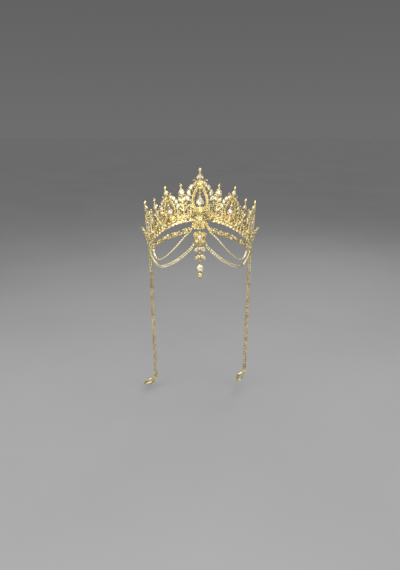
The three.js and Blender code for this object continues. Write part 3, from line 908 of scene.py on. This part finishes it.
# Upper row: small stones at a share of the band's height, where it is tall enough for them
upper = {"angles": [12.4, 17.2, 22, 26.8, 31.6, 36.4], "share": 0.68, "rise": 1.6, "stone": 2.8}
upperRows = []
for angle in [-spot for spot in upper["angles"]] + upper["angles"]:
    height = lowerEdge(angle) * (1 - upper["share"]) + footLine(angle) * upper["share"]
    upperRows.append((alongRing(angle), height + upper["rise"], upper["stone"]))
upperGold, upperStones = settings(upperRows, 1.0)
addMotif("centre", bandParts + upperGold, edgeStones + upperStones, onWall)

# Boss: a shell of petals either side of a stone, leaves above, eyes for the pendant and the upper drapes
boss = {
    "eyes": [(0, 5.2), (11, 6), (-11, 6)],
    "stone": {"v": 11.4, "width": 4.4},
    "shell": {"width": 9.4, "length": 10.4, "u": 6.6, "v": 9.6},
    "turns": (-62, -31, 0, 31, 62),
    "root": np.array([2.6, 9.8]),
    "reach": (8.6, 6.4),
    "bend": (0, 0.7),
    "lobeChips": [(8.4, 13.4, 1.9), (9.6, 9.6, 2.0)],
    "slotChips": [(12.6, 18.4, 2.6), (9.4, 25, 2.4), (5.2, 20.4, 2.2)],
    "leaves": [  # route, half width, lift and curl
        ([(1, 14), (3.6, 18), (7.6, 20.4)], 1.5, 0.6, 0.6),
        ([(0.8, 14), (1.8, 18.6), (4.2, 22.6)], 1.4, 0.8, 0.6),
        ([(3.4, 12.6), (8.6, 16.6), (14.6, 16.8)], 1.6, 0.5, 0.5),
        ([(2.2, 19), (3.6, 23), (7.4, 26.2)], 1.3, 0.6, 0.5),
    ],
    "outerLeaf": [(10.6, 24.6), (12.6, 22.8), (13.2, 19.6)],
    "slots": [[(11.2, 18.8), (9.9, 22.2), (6.7, 24)], [(11.2, 18.8), (8, 20.6), (6.7, 24)]],
    "bridge": [(0, 19), (0, 4)],
    "middleLeaf": [(0, 14), (0, 23)],
    "beads": [(-3.4, 8), (0, 6.8), (3.4, 8)],
}
bossPlace = seatOn(0, foot=0)
lobeGold, lobeChips = pairedSettings(boss["lobeChips"], 1.3)
slotGold, slotChips = pairedSettings(boss["slotChips"], 0.6)
bossGold, bossGem = setting(boss["stone"], 1.1)
bossHalf = [turned(boss["shell"], [(1, -0.7, -0.5), (1, 0, 0), (0.8, 0.5, 0)])]
for turn in boss["turns"]:
    tip = boss["root"] + heading(turn) * boss["reach"]
    bend = (boss["root"] + tip) / 2 + heading(turn) * boss["bend"]
    bossHalf.append(veined([boss["root"], bend, tip], 1.75, 1.5, 0.5, -0.5))
bossHalf += [lobed(route, half, 1.2, lift, curl) for route, half, lift, curl in boss["leaves"]]
bossHalf += [sweep(route, 0.5, 0.8, steps=14) for route in boss["slots"]]
bossHalf += [veined(boss["outerLeaf"], 1.2, 1.1, 0.4)] + lobeGold + slotGold
bossParts = bothSides(bossHalf) + [
    sweep(boss["bridge"], 4.2, 0.6),
    lobed(boss["middleLeaf"], 1.8, 1.4, 0.8, 0.5),
    beadRow(boss["beads"], 1.15, 0.5, 1.0),
    bossGold,
    rimBeads(boss["stone"], 16, 0.42, 0.75, 1.4),
]
bossParts += [eyelet(u, v) for u, v in boss["eyes"]]
addMotif("centre", bossParts, [bossGem] + lobeChips + slotChips, bossPlace)

# Tail spray: three long leaves at each end of the wall, by their fan and length, and stones at their foot
tailSpray = {
    "angle": 94, "root": 2, "leaves": [(-8, 27), (8, 36.5), (36, 22)],
    "chipFan": 12, "chips": [(0, 3.4, 2.8), (-3.4, 7.6, 2.0), (2.4, 9.4, 2.0)],
}
# Terminal: a spray under the wall between the two eyes for the chains
terminal = {
    "angle": 75.5, "root": (0, -0.6), "stone": (0, -1.2, 3.0),
    "petals": [(-150, 4.6), (-120, 4.8), (-90, 4.9), (-60, 4.8), (-30, 4.6)],
    "backEye": 71, "endEye": 80, "eye": (0, -2.2),
}
for sideName, side in sides.items():
    for fan, long in tailSpray["leaves"]:
        root, end = tailSpray["root"], tailSpray["root"] + long
        rib = [(0, root), (0.5, root + long / 2), (0, end)]
        made = [lobed(rib, 2.7, 1.2, steps=30), repeated(bead, [(0, end, 0.2)], 0.9)]
        lobes = np.linspace(0.24, 0.86, int(long / 5))
        for flip in (1, -1):
            made += herringbone(rib, lobes, 0.3 * flip, 3.0 * flip, 2.4, 1.15, 1.0, 1.6)
        collets, chips = settings([(*at, 2.5 - 0.8 * t) for t, at in zip(lobes, spline(rib, lobes))], 1.3)
        addMotif(sideName, made + collets, chips, seatOn(tailSpray["angle"], fan, 1, side), side)
    tailPlace = seatOn(tailSpray["angle"], tailSpray["chipFan"], 1, side)
    addMotif(sideName, *settings(tailSpray["chips"], 0.8), tailPlace, side)
    for name in ("backEye", "endEye"):
        addMotif(sideName, [eyelet(*terminal["eye"])], [], seatOn(terminal[name], 0, 1, side), side)
    collets, chips = settings([terminal["stone"]], 0.9)
    collets += petals(terminal["root"], terminal["petals"], 1.1, 0.3)
    addMotif(sideName, collets, chips, seatOn(terminal["angle"], 0, 1, side), side)

crestNodes = [f"crest_leaf_{name}_{i}" for name in sides for i in (1, 2, 3, 4)]
for sideName, parts in frameGold.items():
    addPiece(f"{sideName}Filigree", parts, gold, nodes=["crown_frame"])
addPiece("centrePearl", pearls, pearl)
addStones("pearAndHeartStones", mainStones, clear, nodes=mainNodes)
addStones("leafStones", leafStones, cream, nodes=crestNodes)
addStones("smallStones", chipStones, champagne)
print("stage: crown frame")

# Pendant: the depth its pieces hang at, and its bails
pendant = {"y": -63.5, "bail": 1.9, "bailWire": 0.45}


# Hung: a pendant's plane, facing the front at the pendant's depth
def hung(height):
    def place(local):
        u, v, lift = np.moveaxis(local, -1, 0)
        return np.stack([u, pendant["y"] - lift, height + v], -1)
    return place


# Bail: a ring square to the pendant's plane
def bailRing(v):
    return roundRing([0, v, 0], (upRow, outRow), pendant["bail"], pendant["bailWire"])


# Pendant flower: four lobes with a pear between them
flower = {
    "at": 28.6,
    "stone": {"cut": "pear", "width": 5, "length": 8.2, "v": 0.6},
    "lobes": [{"u": 4.4, "v": 3.9, "width": 9.4}, {"u": 3.8, "v": -5.2, "width": 8.0}],
    "lobeRows": [(1, -0.7, -0.3), (1, 0, 0), (0.9, 0.35, 0), (0.5, 0.55, 0)],
    "spreads": (-60, -36, -12, 12, 36, 60),
    "eyes": [(0, -8.1), (8.2, -8.2), (-8.2, -8.2)],
    "chips": [(5.6, 5.4, 2.2), (4.9, -6.2, 2.0), (6.4, -0.9, 2.0)],
    "stem": [(0, 10.3), (0, -7)],
    "bail": 12.2,
}
flowerCollets, flowerChips = pairedSettings(flower["chips"], 0.9)
flowerHalf = []
for lobe in flower["lobes"]:
    flowerHalf += [turned(lobe, flower["lobeRows"]), rimBeads(lobe, 24, 0.4, -0.35, 0.35)]
    middle = np.array([lobe["u"], lobe["v"]])
    lobeTurn = math.degrees(math.atan2(lobe["v"], lobe["u"]))
    for spread in flower["spreads"]:
        way = heading(lobeTurn + spread)
        root, tip = 0.4 * middle, middle + (0.46 * lobe["width"] - 0.3) * way
        flowerHalf.append(veined([root, (root + tip) / 2 + 0.3 * way, tip], 1.0, 1.0, 0.5, 0, 14))
flowerHalf += flowerCollets
flowerHalf += petals((0, 0), [(12, 8.4), (-16, 7.8)], 1.4, 0.3)
flowerHalf += petals((0, 1), [(78, 8.0), (-78, 8.2)], 1.3, 0.3)
flowerGold = bothSides(flowerHalf) + [
    sweep(flower["stem"], 1.5, 0.8),
    cup(flower["stone"], rim=1.5),
    rimBeads(flower["stone"], 24, 0.38, 0.65, 1.45),
    claws(flower["stone"], thirds, 1.7),
    bailRing(flower["bail"]),
]
flowerGold += [eyelet(u, v) for u, v in flower["eyes"]]
flowerPlace = hung(flower["at"])
addPiece("pendantFlower", [placed(flowerGold, flowerPlace)], gold, nodes=["pendant_flower"])
addStones("flowerPear", [placed([brilliant(flower["stone"])], flowerPlace)], clear, nodes=["flower_stone"])
addStones("flowerChips", [placed(flowerChips, flowerPlace)], champagne)

# Drop: two pairs of leaf stones and a tear, hanging on bails
drop = {
    "leafAt": {"upper": 16.5, "lower": 5.2},
    "tearAt": -6.1,
    "leaf": {"cut": "marquise", "width": 5.2, "length": 8.9, "u": 4.1, "v": -3.4, "lean": -52},
    "middle": {"cut": "pear", "width": 4.8, "length": 7.8, "v": -3.6, "lean": 180},
    "middleRows": [(0.9, -0.7, 0), (1, 0, 0), (0.95, 0.6, 0), (0.75, 1.2, 0), (0.4, 1.55, 0)],
    "bead": {"cut": "pear", "width": 5.6, "length": 7.8, "v": -17.7},
    "tear": {"cut": "pear", "width": 8.8, "length": 12.2, "v": -7.8},
    "leafStem": [(0, 1.0), (0, -6)],
    "tearStem": [(0, 1.0), (0, -2)],
    "beadStem": [(0, -14), (0, -17)],
    "eye": (0, -7.3),
    "bail": 2.35,
}
leafPair = [drop["leaf"], mirrorStone(drop["leaf"])]
dropStones = []
for name, height in drop["leafAt"].items():
    leafGold = [
        sweep(drop["leafStem"], 0.85, 0.9),
        turned(drop["middle"], drop["middleRows"]),
        rimBeads(drop["middle"], 18, 0.36, 0.05, 0.5),
        eyelet(*drop["eye"]),
        bailRing(drop["bail"]),
    ]
    for stone in leafPair:
        leafGold += [cup(stone, 0.5, 1.1), claws(stone, ends, 1.35)]
    addPiece(f"dropLeaf{name.title()}", [placed(leafGold, hung(height))], gold, "drop", [f"drop_leaf_{name}"])
    dropStones.append(placed([brilliant(stone, 0.6, 1.2) for stone in leafPair], hung(height)))
tearGold = [
    sweep(drop["tearStem"], 0.85, 0.9),
    cup(drop["tear"]),
    rimBeads(drop["tear"], 34, 0.4, 0.65, 1.25),
    claws(drop["tear"], [0, 100, 180, 260]),
    cup(drop["bead"], 0.55, 1.3),
    rimBeads(drop["bead"], 22, 0.36, 0.5, 1.3),
    sweep(drop["beadStem"], 1.1, 0.9),
    bailRing(drop["bail"]),
]
tearPlace = hung(drop["tearAt"])
addPiece("dropTear", [placed(tearGold, tearPlace)], gold, "drop", ["drop_tear"])
tearGem = placed([brilliant(drop["tear"], crown=1.5)], tearPlace)
beadGem = placed([brilliant(drop["bead"], crown=1.2)], tearPlace)
addStones("tearStone", [tearGem], clear, "drop", ["tear_stone"])
addStones("dropLeafStones", dropStones, cream, "drop")
addStones("dropBeadStone", [beadGem], champagne, "drop")
print("stage: pendant")


# Route: a centripetal Catmull-Rom curve through points in space, as fine samples with their run
def routeSamples(points):
    perSpan = 40
    rows = np.asarray(points, float)
    rows = np.concatenate([[2 * rows[0] - rows[1]], rows, [2 * rows[-1] - rows[-2]]])
    before, start, end, after = rows[:-3], rows[1:-2], rows[2:-1], rows[3:]
    gaps = np.sqrt(np.linalg.norm(np.diff(rows, axis=0), axis=1))[:, None]
    d0, d1, d2 = gaps[:-2], gaps[1:-1], gaps[2:]
    leave = ((start - before) / d0 - (end - before) / (d0 + d1) + (end - start) / d1) * d1
    arrive = ((end - start) / d1 - (after - start) / (d1 + d2) + (after - end) / d2) * d1
    w = np.linspace(0, 1, perSpan, endpoint=False)[None, :, None]
    curve = cubic(*(row[:, None] for row in (start, end, leave, arrive)), w)
    fine = np.concatenate([curve.reshape(-1, 3), rows[-2:-1]])
    return fine, runOf(fine)


# Along a route: the point at each length, the way ahead, outwards from the upright axis and across
def routeFrames(fine, run, lengths):
    at = atLengths(fine, run, lengths)
    ahead = unit(atLengths(np.gradient(fine, run, axis=0), run, lengths))
    out = at * [1, 1, 0]
    out = unit(out - ahead * np.sum(out * ahead, -1, keepdims=True))
    return at, ahead, out, np.cross(out, ahead)


# Chain: oval links a pitch apart, each turned a quarter from the one before so that they interlock
def chain(fine, run, width, wire, pitch, lean=45):
    count = int(round(run[-1] / pitch))
    step = run[-1] / count
    at, ahead, out, across = routeFrames(fine, run, (np.arange(count) + 0.5) * run[-1] / count)
    turn = (math.radians(lean) + np.pi / 2 * (np.arange(count) % 2))[:, None]
    broad = np.cos(turn) * out + np.sin(turn) * across
    return loops(at, ahead, broad, step / 2 + wire * 1.2, width / 2 - wire, wire, power=0.8)


# Connector: one long link between an eye and the chain's first link, square to the eye's plate
def connector(eye, end, out, wire=0.4):
    ahead = unit(end - eye)
    broad = unit(out - ahead * (out @ ahead))
    halfLong = np.linalg.norm(end - eye) / 2 + 0.75
    return loops([(eye + end) / 2], ahead, broad, halfLong, 1.35, wire, 18, power=0.9)


# Brow vine: a wire with leaf settings and pairs of round stones by turns, one stone of each vine clear
vine = {
    "route": [
        (15.6, -62.6, 40.4), (24.6, -60.4, 36), (35, -56.6, 31.6), (44, -51.6, 27.4),
        (53.4, -44.4, 21.6), (61, -36, 14.8), (68, -25.4, 7.6),
    ],
    "clusters": ["leaf", "pair", "leaf", "clear", "leaf", "pair", "leaf", "pair"],
    "clearSide": {"left": 1, "right": -1},
    "lift": 0.9,
    "leafStone": {"cut": "marquise", "width": 3.0, "length": 6.0, "lean": 90},
    "pairStone": {"width": 2.9, "high": 1.8},
    "clearStone": {"width": 3.8, "high": 2.07},
    "bead": {"along": 1.9, "radius": 0.8},
    "leafLeaves": [((-4, 0), (-2.6, 1.9), (0, 2.9)), ((-0.8, 1), (1.4, 2.5), (3.8, 2.3))],
    "pairLeaves": [((-1, 0.4), (-2.6, 1.5), (-4, 2.3)), ((1, 0.4), (2.6, 1.5), (4, 2.3))],
    "sprig": 3.2,
    "sprigLeaf": [(0.6, 0.2), (-1.2, 1.6), (-3.1, 1.0)],
    "sprigBead": {"at": (-0.5, 0, 0.7), "radius": 1.1},
    "wave": {"high": 0.6, "samples": 40, "steps": 90},
    "link": 0.5,
}


# On the vine: along its run, up across it and outwards
def vinePlace(fine, run):
    def place(local):
        along, high, lift = np.moveaxis(local, -1, 0)
        at, _, out, across = routeFrames(fine, run, along)
        up = across * np.sign(across[:, 2:3])
        return at + up * high[:, None] + out * lift[:, None]
    return place


# Vine leaves: each route and its mirror image, moved to a length along the vine
def vineLeaves(routes, spot=0):
    return [
        veined([(spot + along, high * flip) for along, high in route], 1.2, 0.85, 0.2, 0.4, 12)
        for route in routes for flip in (1, -1)
    ]


# Vine cluster: its gold, its champagne stones and its clear stone, at a length along the vine
def vineCluster(kind, spot, clearSide):
    made, tinted, bright = [], [], []
    if kind == "leaf":
        collet, gem = setting({**vine["leafStone"], "u": spot}, vine["lift"])
        return [collet] + vineLeaves(vine["leafLeaves"], spot), [gem], bright
    for flip in (1, -1):
        isClear = kind == "clear" and flip == clearSide
        stone = vine["clearStone" if isClear else "pairStone"]
        collet, gem = setting({"u": spot, "v": stone["high"] * flip, "width": stone["width"]}, vine["lift"])
        made.append(collet)
        (bright if isClear else tinted).append(gem)
    beads = [(spot + vine["bead"]["along"] * flip, 0, vine["lift"]) for flip in (-1, 1)]
    made.append(repeated(bead, beads, vine["bead"]["radius"]))
    return made + vineLeaves(vine["pairLeaves"], spot), tinted, bright


# Vine parts: a waving wire, the clusters along it and a sprig at its start, as gold, champagne and clear
def vineParts(length, clearSide):
    kinds, samples = vine["clusters"], vine["wave"]["samples"]
    wave = vine["wave"]["high"] * np.sin(np.linspace(0, np.pi * len(kinds), samples))
    wire = np.stack([np.linspace(0, length, samples), wave], -1)
    made, tinted, bright = [sweep(wire, 0.6, 0.65, 0.6, vine["wave"]["steps"], section="wire")], [], []
    for i, kind in enumerate(kinds):
        cluster = vineCluster(kind, (i + 0.5) * length / len(kinds), clearSide)
        made += cluster[0]
        tinted += cluster[1]
        bright += cluster[2]
    made += vineLeaves([vine["sprigLeaf"]])
    made.append(repeated(bead, [vine["sprigBead"]["at"]], vine["sprigBead"]["radius"]))
    return made, tinted, bright


# Clasps: a rounded hook with a tail eye, a lever on a riveted fork, a ring for the chains and an end ring
clasp = {
    "scale": 1.4,
    "left": {"x": -72.1, "z": -211.2, "turn": 207, "roll": 1},
    "right": {"x": 69.3, "z": -199.4, "turn": 238, "roll": -1},
    "hook": [(1.4, 0), (3.4, 1.9), (6.5, 2.6), (10, 1.9), (11.6, 0), (10.8, -1.9), (9.5, -2.6)],
    "hookHalf": 0.92,
    "lever": [(3.4, -1.3), (6, -2.5), (8.6, -2.9)],
    "fork": {"u": 3.3, "v": -0.3, "width": 2.3, "length": 4.2, "lean": -8},
    "forkRows": [(0.9, 1.08, 0), (1, 1.2, 0), (1, 1.4, 0), (0.85, 1.52, 0)],
    "rivet": {"lift": 1.5, "size": (0.6, 0.6, 0.35)},
    "ringAt": (-1.5, 11.7),
    "ring": 2,
}
# Side chains: the depth they hang at, their top, where each side ends and the distance out at top and end
sideRun = {"y": -12.7, "top": -1.6, "left": -208, "right": -194.5, "outer": (75.1, 71.8), "inner": (72.4, 69)}


# On the clasp: along it, across it and outwards, rolled, scaled and turned to the angle it hangs at
def claspPlace(name):
    row = clasp[name]
    along, up = heading(row["turn"])

    def place(local):
        a, b, lift = np.moveaxis(np.asarray(local) * clasp["scale"] * [1, row["roll"], row["roll"]], -1, 0)
        x, z = row["x"] + a * along - b * up, row["z"] + a * up + b * along
        return np.stack([x, sideRun["y"] - lift, z], -1)

    return place


# Drapes: the routes of the right side, mirrored for the left
drapes = {
    "upper": [
        (12.8, -63.2, 37.8), (20.5, -61.4, 30.2), (27.5, -59.2, 21.9), (34.6, -56.4, 13.2), (42, -52.6, 5),
        (49.5, -47.4, -2.4), (56.4, -41.2, -7), (61.2, -35.6, -7.6), (64.8, -30.6, -4), (67.2, -26.6, 3.4),
    ],
    "lower": [
        (10.4, -63.4, 18), (14, -62.8, 13.6), (20.7, -61.4, 7), (28, -59.2, 0.6), (35, -56.6, -4.8),
        (42, -53, -9.4), (49.6, -48, -13.4), (55.5, -43, -15.6), (60.6, -38, -15.2), (66.6, -30.6, -10.2),
        (70.6, -23.6, -5), (73, -17, 0),
    ],
    "apart": 1.9,
    "slack": 0.35,
}
# Links: the width, wire and pitch of each chain, and the angle its links lean at where it isn't the usual one
links = {
    "upper": {"width": 2.6, "wire": 0.58, "pitch": 1.95},
    "lower": {"width": 2.1, "wire": 0.46, "pitch": 1.84},
    "side": {"width": 2.6, "wire": 0.52, "pitch": 2.3, "lean": 0},
}
roundWire = 80  # the angle over which an edge of the side chains' links is sharp


# Mirrored: rows of points with their first value times the side's sign
def mirrored(rows, side):
    return np.asarray(rows, float) * [side, 1, 1]


# Below: the second lower strand, square to the first one's run and slacker in the middle
def below(rows):
    fine, run = routeSamples(rows)
    knots = np.linspace(0, len(fine) - 1, len(rows)).astype(int)
    at, _, _, across = routeFrames(fine, run, run[knots])
    down = across * -np.sign(across[:, 2:3])
    t = np.linspace(0, 1, len(rows))[:, None]
    return at + down * drapes["apart"] * (1 + drapes["slack"] * np.sin(np.pi * t))


for name, side in sides.items():
    title = name.title()
    bossEye = eyeOn(bossPlace, side * boss["eyes"][1][0], boss["eyes"][1][1])[0]
    flowerEye = eyeOn(flowerPlace, side * flower["eyes"][1][0], flower["eyes"][1][1])[0]
    backEye, backOut = eyeOn(seatOn(terminal["backEye"], 0, 1, side), *terminal["eye"])
    endEye, endOut = eyeOn(seatOn(terminal["endEye"], 0, 1, side), *terminal["eye"])

    fine, run = routeSamples(mirrored(vine["route"], side))
    tip = fine[0] + vine["sprig"] * unit(fine[0] - fine[1])
    onVine = vinePlace(np.concatenate([[tip], fine]), np.concatenate([[-vine["sprig"]], run]))
    vineGold, vineTinted, vineClear = vineParts(run[-1], vine["clearSide"][name])
    vineGold = [
        placed(vineGold, onVine, side),
        connector(bossEye, (tip + fine[0]) / 2, facing, vine["link"]),
        connector(backEye, fine[-1], backOut, vine["link"]),
    ]
    addPiece(f"browVine{title}", vineGold, gold, nodes=[f"brow_vine_{name}"])
    addStones(f"vineStones{title}", [placed(vineTinted, onVine, side)], champagne)
    addStones(f"vineClear{title}", [placed(vineClear, onVine, side)], clear)

    fine, run = routeSamples(mirrored(drapes["upper"], side))
    drape = [chain(fine, run, **links["upper"])]
    drape += [connector(bossEye, fine[0], facing), connector(backEye, fine[-1], backOut)]
    addPiece(f"upperDrape{title}", drape, chainGold, nodes=[f"upper_drape_{name}"])
    first = mirrored(drapes["lower"], side)
    for number, rows in ((1, first), (2, below(first))):
        fine, run = routeSamples(rows)
        drape = [chain(fine, run, **links["lower"])]
        drape += [connector(flowerEye, fine[0], facing), connector(endEye, fine[-1], endOut)]
        addPiece(f"lowerDrape{title}{number}", drape, chainGold, nodes=[f"lower_drape_{name}_{number}"])

    onClasp = claspPlace(name)
    ringWay = onClasp([1, 0, 0]) - onClasp([0, 0, 0])
    for tag, edgeSide in (("outer", 1), ("inner", -1)):
        topX, endX = sideRun[tag]
        top = np.array([side * topX, sideRun["y"], sideRun["top"]])
        end = np.array([side * endX, sideRun["y"], sideRun[name]])
        fine = top + np.linspace(0, 1, 60)[:, None] * (end - top)
        ringSpot = onClasp([clasp["ringAt"][0], 0, clasp[name]["roll"] * clasp["ring"] * edgeSide])
        strand = [
            chain(fine, np.linspace(0, np.linalg.norm(end - top), 60), **links["side"]),
            connector(endEye, top, endOut),
            connector(end, ringSpot, np.cross(ringWay, ringSpot - end)),
        ]
        pieceName, nodeName = f"sideChain{title}{tag.title()}", f"side_chain_{name}_{tag}"
        addPiece(pieceName, strand, sideGoldPaintedGlints, nodes=[nodeName], sharp=roundWire)
print("stage: vine and chains")


# Hook swell: a half sine over the back of the hook, plain round the nose
def hookSwell(t):
    return 1 + 0.9 * np.sin(np.pi * np.minimum(t / 0.6, 1))


# Hook: a rounded section along its route, widened by the swell and thickened by its square root
def hookBody(route, half):
    steps, around = 40, 12
    t, middle, across = ribbon(route, steps)
    wide = half * hookSwell(t)[:, None] * np.cos(fullTurn(around))
    high = half * np.sqrt(hookSwell(t))[:, None] * np.sin(fullTurn(around))
    verts = np.concatenate([middle[:, None] + across[:, None] * wide[..., None], high[..., None]], -1)
    return verts.reshape(-1, 3), gridFaces(steps, around), endCaps(steps, around)


pivot, rivet = clasp["lever"][0], clasp["rivet"]
farRows = [(share, -lift, extra) for share, lift, extra in clasp["forkRows"][::-1]]
for name in sides:
    title = name.title()
    onClasp = claspPlace(name)
    hook = [
        hookBody(clasp["hook"], clasp["hookHalf"]),
        roundRing([0, 0, 0], (acrossRow, upRow), 1.5, 0.5),
        repeated(smoothBall, [(*clasp["hook"][-1], 0)], clasp["hookHalf"]),
        turned(clasp["fork"], clasp["forkRows"]),
        turned(clasp["fork"], farRows),
        repeated(smoothBall, [(*pivot, rivet["lift"]), (*pivot, -rivet["lift"])], [rivet["size"]]),
    ]
    lever = [
        sweep(clasp["lever"], 0.75, 0.85, back=0.85, steps=16, section="wire"),
        repeated(smoothBall, [(*clasp["lever"][-1], 0)], 0.72),
        repeated(smoothBall, [(*pivot, 0)], [(0.75, 0.75, 0.95)]),
    ]
    addPiece(f"claspHook{title}", [placed(hook, onClasp)], gold, nodes=[f"clasp_body_{name}"])
    addPiece(f"claspLever{title}", [placed(lever, onClasp)], gold, f"lever_{name}", [f"clasp_lever_{name}"])
    for kind, spot in zip(("Ring", "EndRing"), clasp["ringAt"]):
        made = roundRing([spot, 0, 0], (acrossRow, outRow), clasp["ring"], 0.45, 24)
        node = f"clasp_ring_{name}" if kind == "Ring" else f"clasp_end_ring_{name}"
        addPiece(f"clasp{kind}{title}", [placed([made], onClasp)], gold, nodes=[node])
print("stage: clasps")

# Stage: a pale floor, wide enough to reach the horizon
ground = {"height": -0.228, "half": 20, "rough": 0.7, "noise": 3}
half, height = ground["half"], ground["height"]
corners = [(-half, -half, height), (half, -half, height), (half, half, height), (-half, half, height)]
floorMesh = bpy.data.meshes.new("paleFloor")
floorMesh.from_pydata(corners, [], [(0, 1, 2, 3)])
floorMaterial, floorTree, floorShader = shaderOf("paleFloor")
floorStops = [(0.3, (0.27, 0.27, 0.274)), (0.7, (0.29, 0.29, 0.294))]
floorColour = rampNode(floorTree, noiseNode(floorTree, ground["noise"]), floorStops)
floorTree.links.new(floorColour, floorShader.inputs["Base Color"])
setSockets(floorShader, {"Roughness": ground["rough"]})
floorMesh.materials.append(floorMaterial)
shown("paleFloor", floorMesh)

# Room: grey, darker upwards, for the metal to mirror
world = bpy.data.worlds.new("room")
scene.world = world
world.use_nodes = True
worldTree = world.node_tree
worldCoords = worldTree.nodes.new("ShaderNodeTexCoord")
worldSplit = worldTree.nodes.new("ShaderNodeSeparateXYZ")
worldTree.links.new(worldCoords.outputs["Generated"], worldSplit.inputs["Vector"])
worldStops = [(0.0, (0.22, 0.22, 0.224)), (0.15, (0.188, 0.188, 0.192)), (0.7, (0.074, 0.074, 0.078))]
worldColour = rampNode(worldTree, worldSplit.outputs["Z"], worldStops)
worldTree.links.new(worldColour, worldTree.nodes["Background"].inputs["Color"])
setSockets(worldTree.nodes["Background"], {"Strength": 0.7})

# Lights: soft boxes round the crown, by place in metres, size and power, all turned to one spot in it
lamps = {
    "key": ((-0.66, -0.7, 0.58), 0.8, 5.7),
    "fill": ((0.75, -0.55, 0.35), 0.7, 3.6),
    "top": ((0.0, 0.25, 0.85), 0.6, 3.2),
    "rim": ((0.5, 0.7, 0.75), 0.4, 3.2),
    "side": ((-0.85, -0.3, 0.25), 0.7, 1.5),
    "low": ((-0.15, -0.9, 0.05), 0.4, 1.9),
}
litSpot = np.array([0, -0.02, 0.02])
for name, (spot, size, power) in lamps.items():
    lamp = bpy.data.lights.new(name, "AREA")
    lamp.size = size
    lamp.energy = power
    light = shown(name, lamp)
    gaze = litSpot - np.array(spot)
    level = math.hypot(gaze[0], gaze[1])
    light.location = spot
    light.rotation_euler = (math.atan2(level, -gaze[2]), 0, math.atan2(-gaze[0], gaze[1]))

# Sun: weak and wide, for the floor
sun = bpy.data.lights.new("overhead", "SUN")
sun.energy = 1.5
sun.angle = math.radians(60)
overhead = shown("overhead", sun)
overhead.rotation_euler = (math.radians(18), math.radians(10), 0)

# Camera: level across, pitched down at the crown
view = {"lens": 31.58, "sensor": 36, "place": (0, -0.732, 0.1726), "pitch": 17.5}
lens = bpy.data.cameras.new("camera")
lens.sensor_fit = "VERTICAL"
lens.sensor_height = view["sensor"]
lens.sensor_width = view["sensor"]
lens.lens = view["lens"]
camera = shown("camera", lens)
camera.location = view["place"]
camera.rotation_euler = (math.radians(90 - view["pitch"]), 0, 0)
scene.camera = camera

# Plain view: colours as they are, without a film curve
scene.view_settings.view_transform = "Standard"
